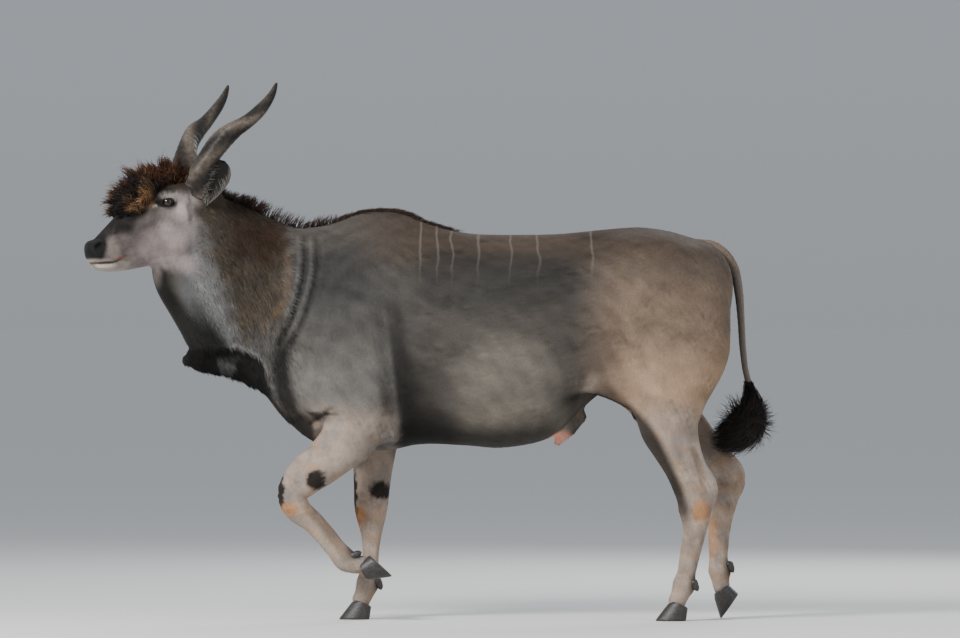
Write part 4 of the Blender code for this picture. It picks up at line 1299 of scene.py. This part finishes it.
def make_brush(skin, material):
    """The mat of long curly hair on the forehead."""
    count, clumps = 5000, 190

    def lowest(x):
        """The lower edge of the mat."""
        return np.interp(x, (-1.335, -1.25, -1.19, -1.1, -1.0), (1.6, 1.618, 1.68, 1.708, 1.69))

    def density(p):
        """1 on the forehead."""
        x, y, z = p.T
        wide = np.interp(x, (-1.33, -1.22, -1.14, -1.0), (.05, .062, .05, .06))
        ends = fade(x, -1.335, -1.29) * fade(x, -.985, -1.01)
        return ends * fade(np.abs(y), wide + .008, wide) * (z > lowest(x))
    real, straight, normals = skin.roots(count, density)
    x = straight[:, 0]
    rise = np.interp(x, (-1.345, -1.3, -1.24, -1.165, -1.08, -1.0), (.036, .058, .08, .074, .052, .03))
    rise = rise * rng.uniform(.6, 1.25, count) * np.where(rng.random(count) < .02, 1.35, 1)
    forward = bend_directions(straight, np.tile((-1.0, 0, .1), (count, 1)), True)
    normals = unit(normals * (1, .6, 1) + (0, 0, .3))
    droop = rise * fade(x, -1.2, -1.28) * rng.uniform(.2, .9, count)
    tips = real + normals * rise[:, None] + forward * (.38 * rise[:, None]) - np.outer(droop, (0, 0, 1))
    leaders, owner = gather(real, clumps)
    tips = tips * .35 + tips[leaders][owner] * .65 + .3 * (real - real[leaders][owner])
    tips = tips + .014 * rng.normal(size=(clumps, 3))[owner] + .007 * rng.normal(size=(count, 3))
    knee = real + normals * (rise * .6)[:, None] + .1 * (tips - real)
    t = along(6)
    paths = real[:, None] * (1 - t) ** 2 + 2 * knee[:, None] * t * (1 - t) + tips[:, None] * t * t

    def shade():
        """Red brown behind, black in front, and a tan hem above the eyes."""
        red = shades(count, (.008, .004, .002), (.07, .021, .007), (.16, .075, .03), .03)
        black = shades(count, (.003, .002, .002), (.01, .006, .004))
        back = fade(x + .04 * rng.normal(size=clumps)[owner], -1.25, -1.14) * fade(x, -1.01, -1.06)
        hem = fade(straight[:, 2] - lowest(x), .034, .012) * fade(x, -1.285, -1.265) * fade(x, -1.17, -1.2)
        return mix(mix(black, red, back), shades(count, (.06, .03, .014), (.26, .145, .065)), hem)
    loose_locks('brush_locks', 'forehead_brush', curl(paths, .006, 1.7), .0022, .0044, (.8, 1, .95, .8, .5),
                shade, fill_map(unwrap(straight)), material)


def make_mane(skin, material):
    """Hair of the crest: a brown tuft behind the ears, sparse upright hair, a short line on the withers."""
    count, clumps = 3600, 110

    def density(p):
        """How thick the hair stands along the crest."""
        x, y, z = p.T
        thick = np.interp(x, (-.93, -.84, -.72, -.66, -.4, -.3, .05, .12), (0, 1, 1, .22, .22, .9, .6, 0))
        return thick * fade(np.abs(y), .032, .008) * (z > 1.42)
    real, straight, _ = skin.roots(count, density)
    x = straight[:, 0]
    long = np.interp(x, (-.88, -.8, -.7, -.62, -.42, -.32, .05), (.02, .04, .055, .058, .045, .018, .01))
    long = long * rng.uniform(.5, 1.2, count)
    _, owner = gather(real, clumps)
    lean = .25 * rng.normal(size=(clumps, 3))[owner] + .14 * rng.normal(size=(count, 3))
    back = np.interp(x, (-.8, -.6, -.35, -.25), (.55, .15, .3, 1.6))
    way = unit(np.stack([back, 0 * x, 0 * x + 1], 1) + lean)
    t = along(5)
    paths = real[:, None] + way[:, None] * (t * long[:, None, None]) + np.array((.012, 0, 0)) * t * t
    loose_locks('mane_locks', 'mane', curl(paths, .003, .8), .0016, .0032, (1, .95, .8, .5),
                lambda: shades(count, (.01, .007, .006), (.07, .036, .022)),
                fill_map(unwrap(straight)), material)


def make_tail_tuft(material):
    """Long strands that fan from the tail's end and sweep forward."""
    count = 4100
    line = curve(TUFT, 10)
    stations = np.arange(len(line)) / (len(line) - 1)

    def at(s, k):
        """A column of the stations at shares of the way along the tuft."""
        return np.interp(s, stations, line[:, k])
    start = rng.uniform(0, .45, count)
    end = np.clip(start + rng.uniform(.35, .62, count), 0, 1.06)
    spread = np.sqrt(rng.random(count)) * 1.02
    angle = rng.uniform(0, 2 * math.pi, count)
    t = along(7)
    s = start[:, None] + (end - start)[:, None] * t[..., 0]
    ahead = unit(np.stack([at(s + .02, k) - at(s - .02, k) for k in (0, 1)], -1))
    up = np.stack([ahead[..., 1], 0 * s, -ahead[..., 0]], -1)
    over = np.maximum(s - 1, 0)[..., None] * .45 * np.stack([ahead[..., 0], 0 * s, ahead[..., 1]], -1)
    grow = (.25 + .75 * t[..., 0] ** .6) * spread[:, None]
    reach = np.where(np.sin(angle)[:, None] > 0, at(s, 3), at(s, 4))
    paths = np.stack([at(s, 0), at(s, 5), at(s, 1)], -1) + over
    paths = paths + np.array((0, 1, 0)) * (grow * np.cos(angle)[:, None] * at(s, 2))[..., None]
    paths = paths + up * (grow * np.sin(angle)[:, None] * reach)[..., None]
    tail = curve(TAIL, 10)
    height = rng.uniform(.862, .96, count) - .02 * start
    root = np.stack([np.interp(-height, -tail[:, 1], tail[:, 0]), 0 * height, height], 1)
    root = root + .008 * rng.normal(size=(count, 3)) * (1, 1, 0)
    hold = (1 - t) ** 2.2
    paths = root[:, None] * hold + paths * (1 - hold)
    loose = rng.random(count) < .16
    out = unit(rng.normal(size=(count, 3)) * (1, .7, 1) + (.35, 0, .55))
    burst = TUFT_MIDDLE + out[:, None] * (.015 + t * rng.uniform(.085, .125, (count, 1, 1)))
    paths[loose] = burst[loose]
    loose_locks('tail_tuft_locks', 'tail_tuft', curl(paths, .011, 1.1) + CENTRE, .0016, .0034,
                (.8, 1, 1, .9, .75, .5), lambda: shades(count, (.006, .005, .005), (.03, .022, .018)),
                fill_map(np.stack([start, angle / 6.3], 1)), material)


def region(lowest, *ends):
    """A density that follows ramps along the body above a height."""
    def density(p):
        """The density at places."""
        share = p[:, 2] > lowest
        for low, high in ends:
            share = share * fade(p[:, 0], low, high)
        return share
    return density


def on_legs(p):
    """A density that is 1 on the legs."""
    return (p[:, 2] < .8) * (np.abs(p[:, 0] - .3) > .3) * (p[:, 0] > -.66)


def make_coat(skin, material):
    """The short coat in pieces: neck, shoulder, barrel, rump, legs and face."""
    for name, count, density, shape, more in (
            ('neck', 19800, region(.8, (-.5, -.62), (-1.06, -.97)), (.03, .0036, .15),
             {'steps': 3, 'vary': .24}),
            ('shoulder', 46000, region(.74, (-.66, -.55), (.02, -.02)), (.017, .003, .09), {}),
            ('barrel', 48000, region(.6, (-.02, .02), (.62, .58)), (.017, .0032, .08), {}),
            ('rump', 46000, region(.8, (.58, .62)), (.017, .003, .09), {}),
            ('legs', 46000, on_legs, (.012, .0022, .12), {'slot': 'leg_hair'}),
            ('face', 40000, region(1.36, (-.96, -1.05), (-1.44, -1.4)), (.008, .0014, .14), {'vary': .2})):
        count = count
        coat_piece('coat_' + name, skin, count, density, *shape, material, **more)


# ---- stage

FLOOR_SIZE = 1500
FLOOR_TONE = (.62, .61, .59, 1)
HORIZON = (.331, .352, .377)
SKY = (.52, .56, .62)
# Lamps: name, place, size and power.
LAMPS = (('key', (-4.5, -6.0, 5.5), 2.6, 1250), ('fill', (6.5, -5.0, 3.0), 4.0, 190),
         ('rim', (3.0, 6.0, 5.0), 4.0, 340))
LAMP_AIM = (0, 0, 1.1)
CAMERA_PLACE = (.2 + CENTRE[0], -30, 1.204)
CAMERA_LENS, CAMERA_REACH = 281.25, 2000


def place_in_scene(name, data, place, turn):
    """Adds a lamp or camera to the scene."""
    made = bpy.data.objects.new(name, data)
    made.location = place
    made.rotation_euler = turn
    bpy.context.collection.objects.link(made)
    return made


def make_stage():
    """Pale floor, soft studio light and the camera."""
    bpy.ops.mesh.primitive_plane_add(size=FLOOR_SIZE)
    floor = bpy.context.object
    floor.name = 'floor'
    pale = Look(bpy.data.materials.new('floor')).finish({'Base Color': FLOOR_TONE, 'Roughness': .9})
    floor.data.materials.append(pale)

    sky = Look(bpy.data.worlds.new('studio'), 'Background')
    place = sky.add('TexCoord', {}, 'Generated')
    height = sky.add('SeparateXYZ', {0: place}, 'Z')
    colour = sky.ramp(height, (0, HORIZON), (.35, SKY))
    bpy.context.scene.world = sky.finish({'Color': colour, 'Strength': 1})
    for name, place, size, power in LAMPS:
        lamp = bpy.data.lights.new(name, 'AREA')
        lamp.size, lamp.energy = size, power
        x, y, z = np.array(LAMP_AIM) - np.array(place)
        place_in_scene(name, lamp, place, (math.atan2(np.hypot(x, y), -z), 0, math.atan2(x, -y) + math.pi))

    lens = bpy.data.cameras.new('camera')
    lens.lens, lens.sensor_width, lens.clip_end = CAMERA_LENS, 36, CAMERA_REACH
    bpy.context.scene.camera = place_in_scene('camera', lens, CAMERA_PLACE, (math.pi / 2, 0, 0))


def main():
    """The stage, then the skin, the pieces of head, feet and tail, and all the hair."""
    make_stage()
    coat = hair_material('coat', .85, tip=1.14, root=.88, speckle=.16, stripes=True)
    horn = hair_material('horn_sheath', .42, tip=1, root=1, grain=70.0, bump=.3, speckle=.35)

    straight, faces = make_skin_points()
    skin_piece = mesh_piece('skin', bend(straight), faces, coat)
    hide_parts(*FLESH)
    skin = Skin(skin_piece, straight)
    colour_short(skin_piece, coat_colour(straight, skin.normals))
    eye, claw = eye_material(), claw_material()
    long_hair = hair_material('long_hair', .75, tip=1.5, root=.5)
    for name, side in (('left', -1), ('right', 1)):
        make_horn(name, side, horn)
        make_eye(name, side, eye)
        make_ear(name, side, coat)
        make_ear_hair(name, side, coat)
    make_feet(claw)
    make_tail(coat)
    make_brush(skin, long_hair)
    make_mane(skin, long_hair)
    make_tail_tuft(long_hair)
    make_coat(skin, coat)


main()
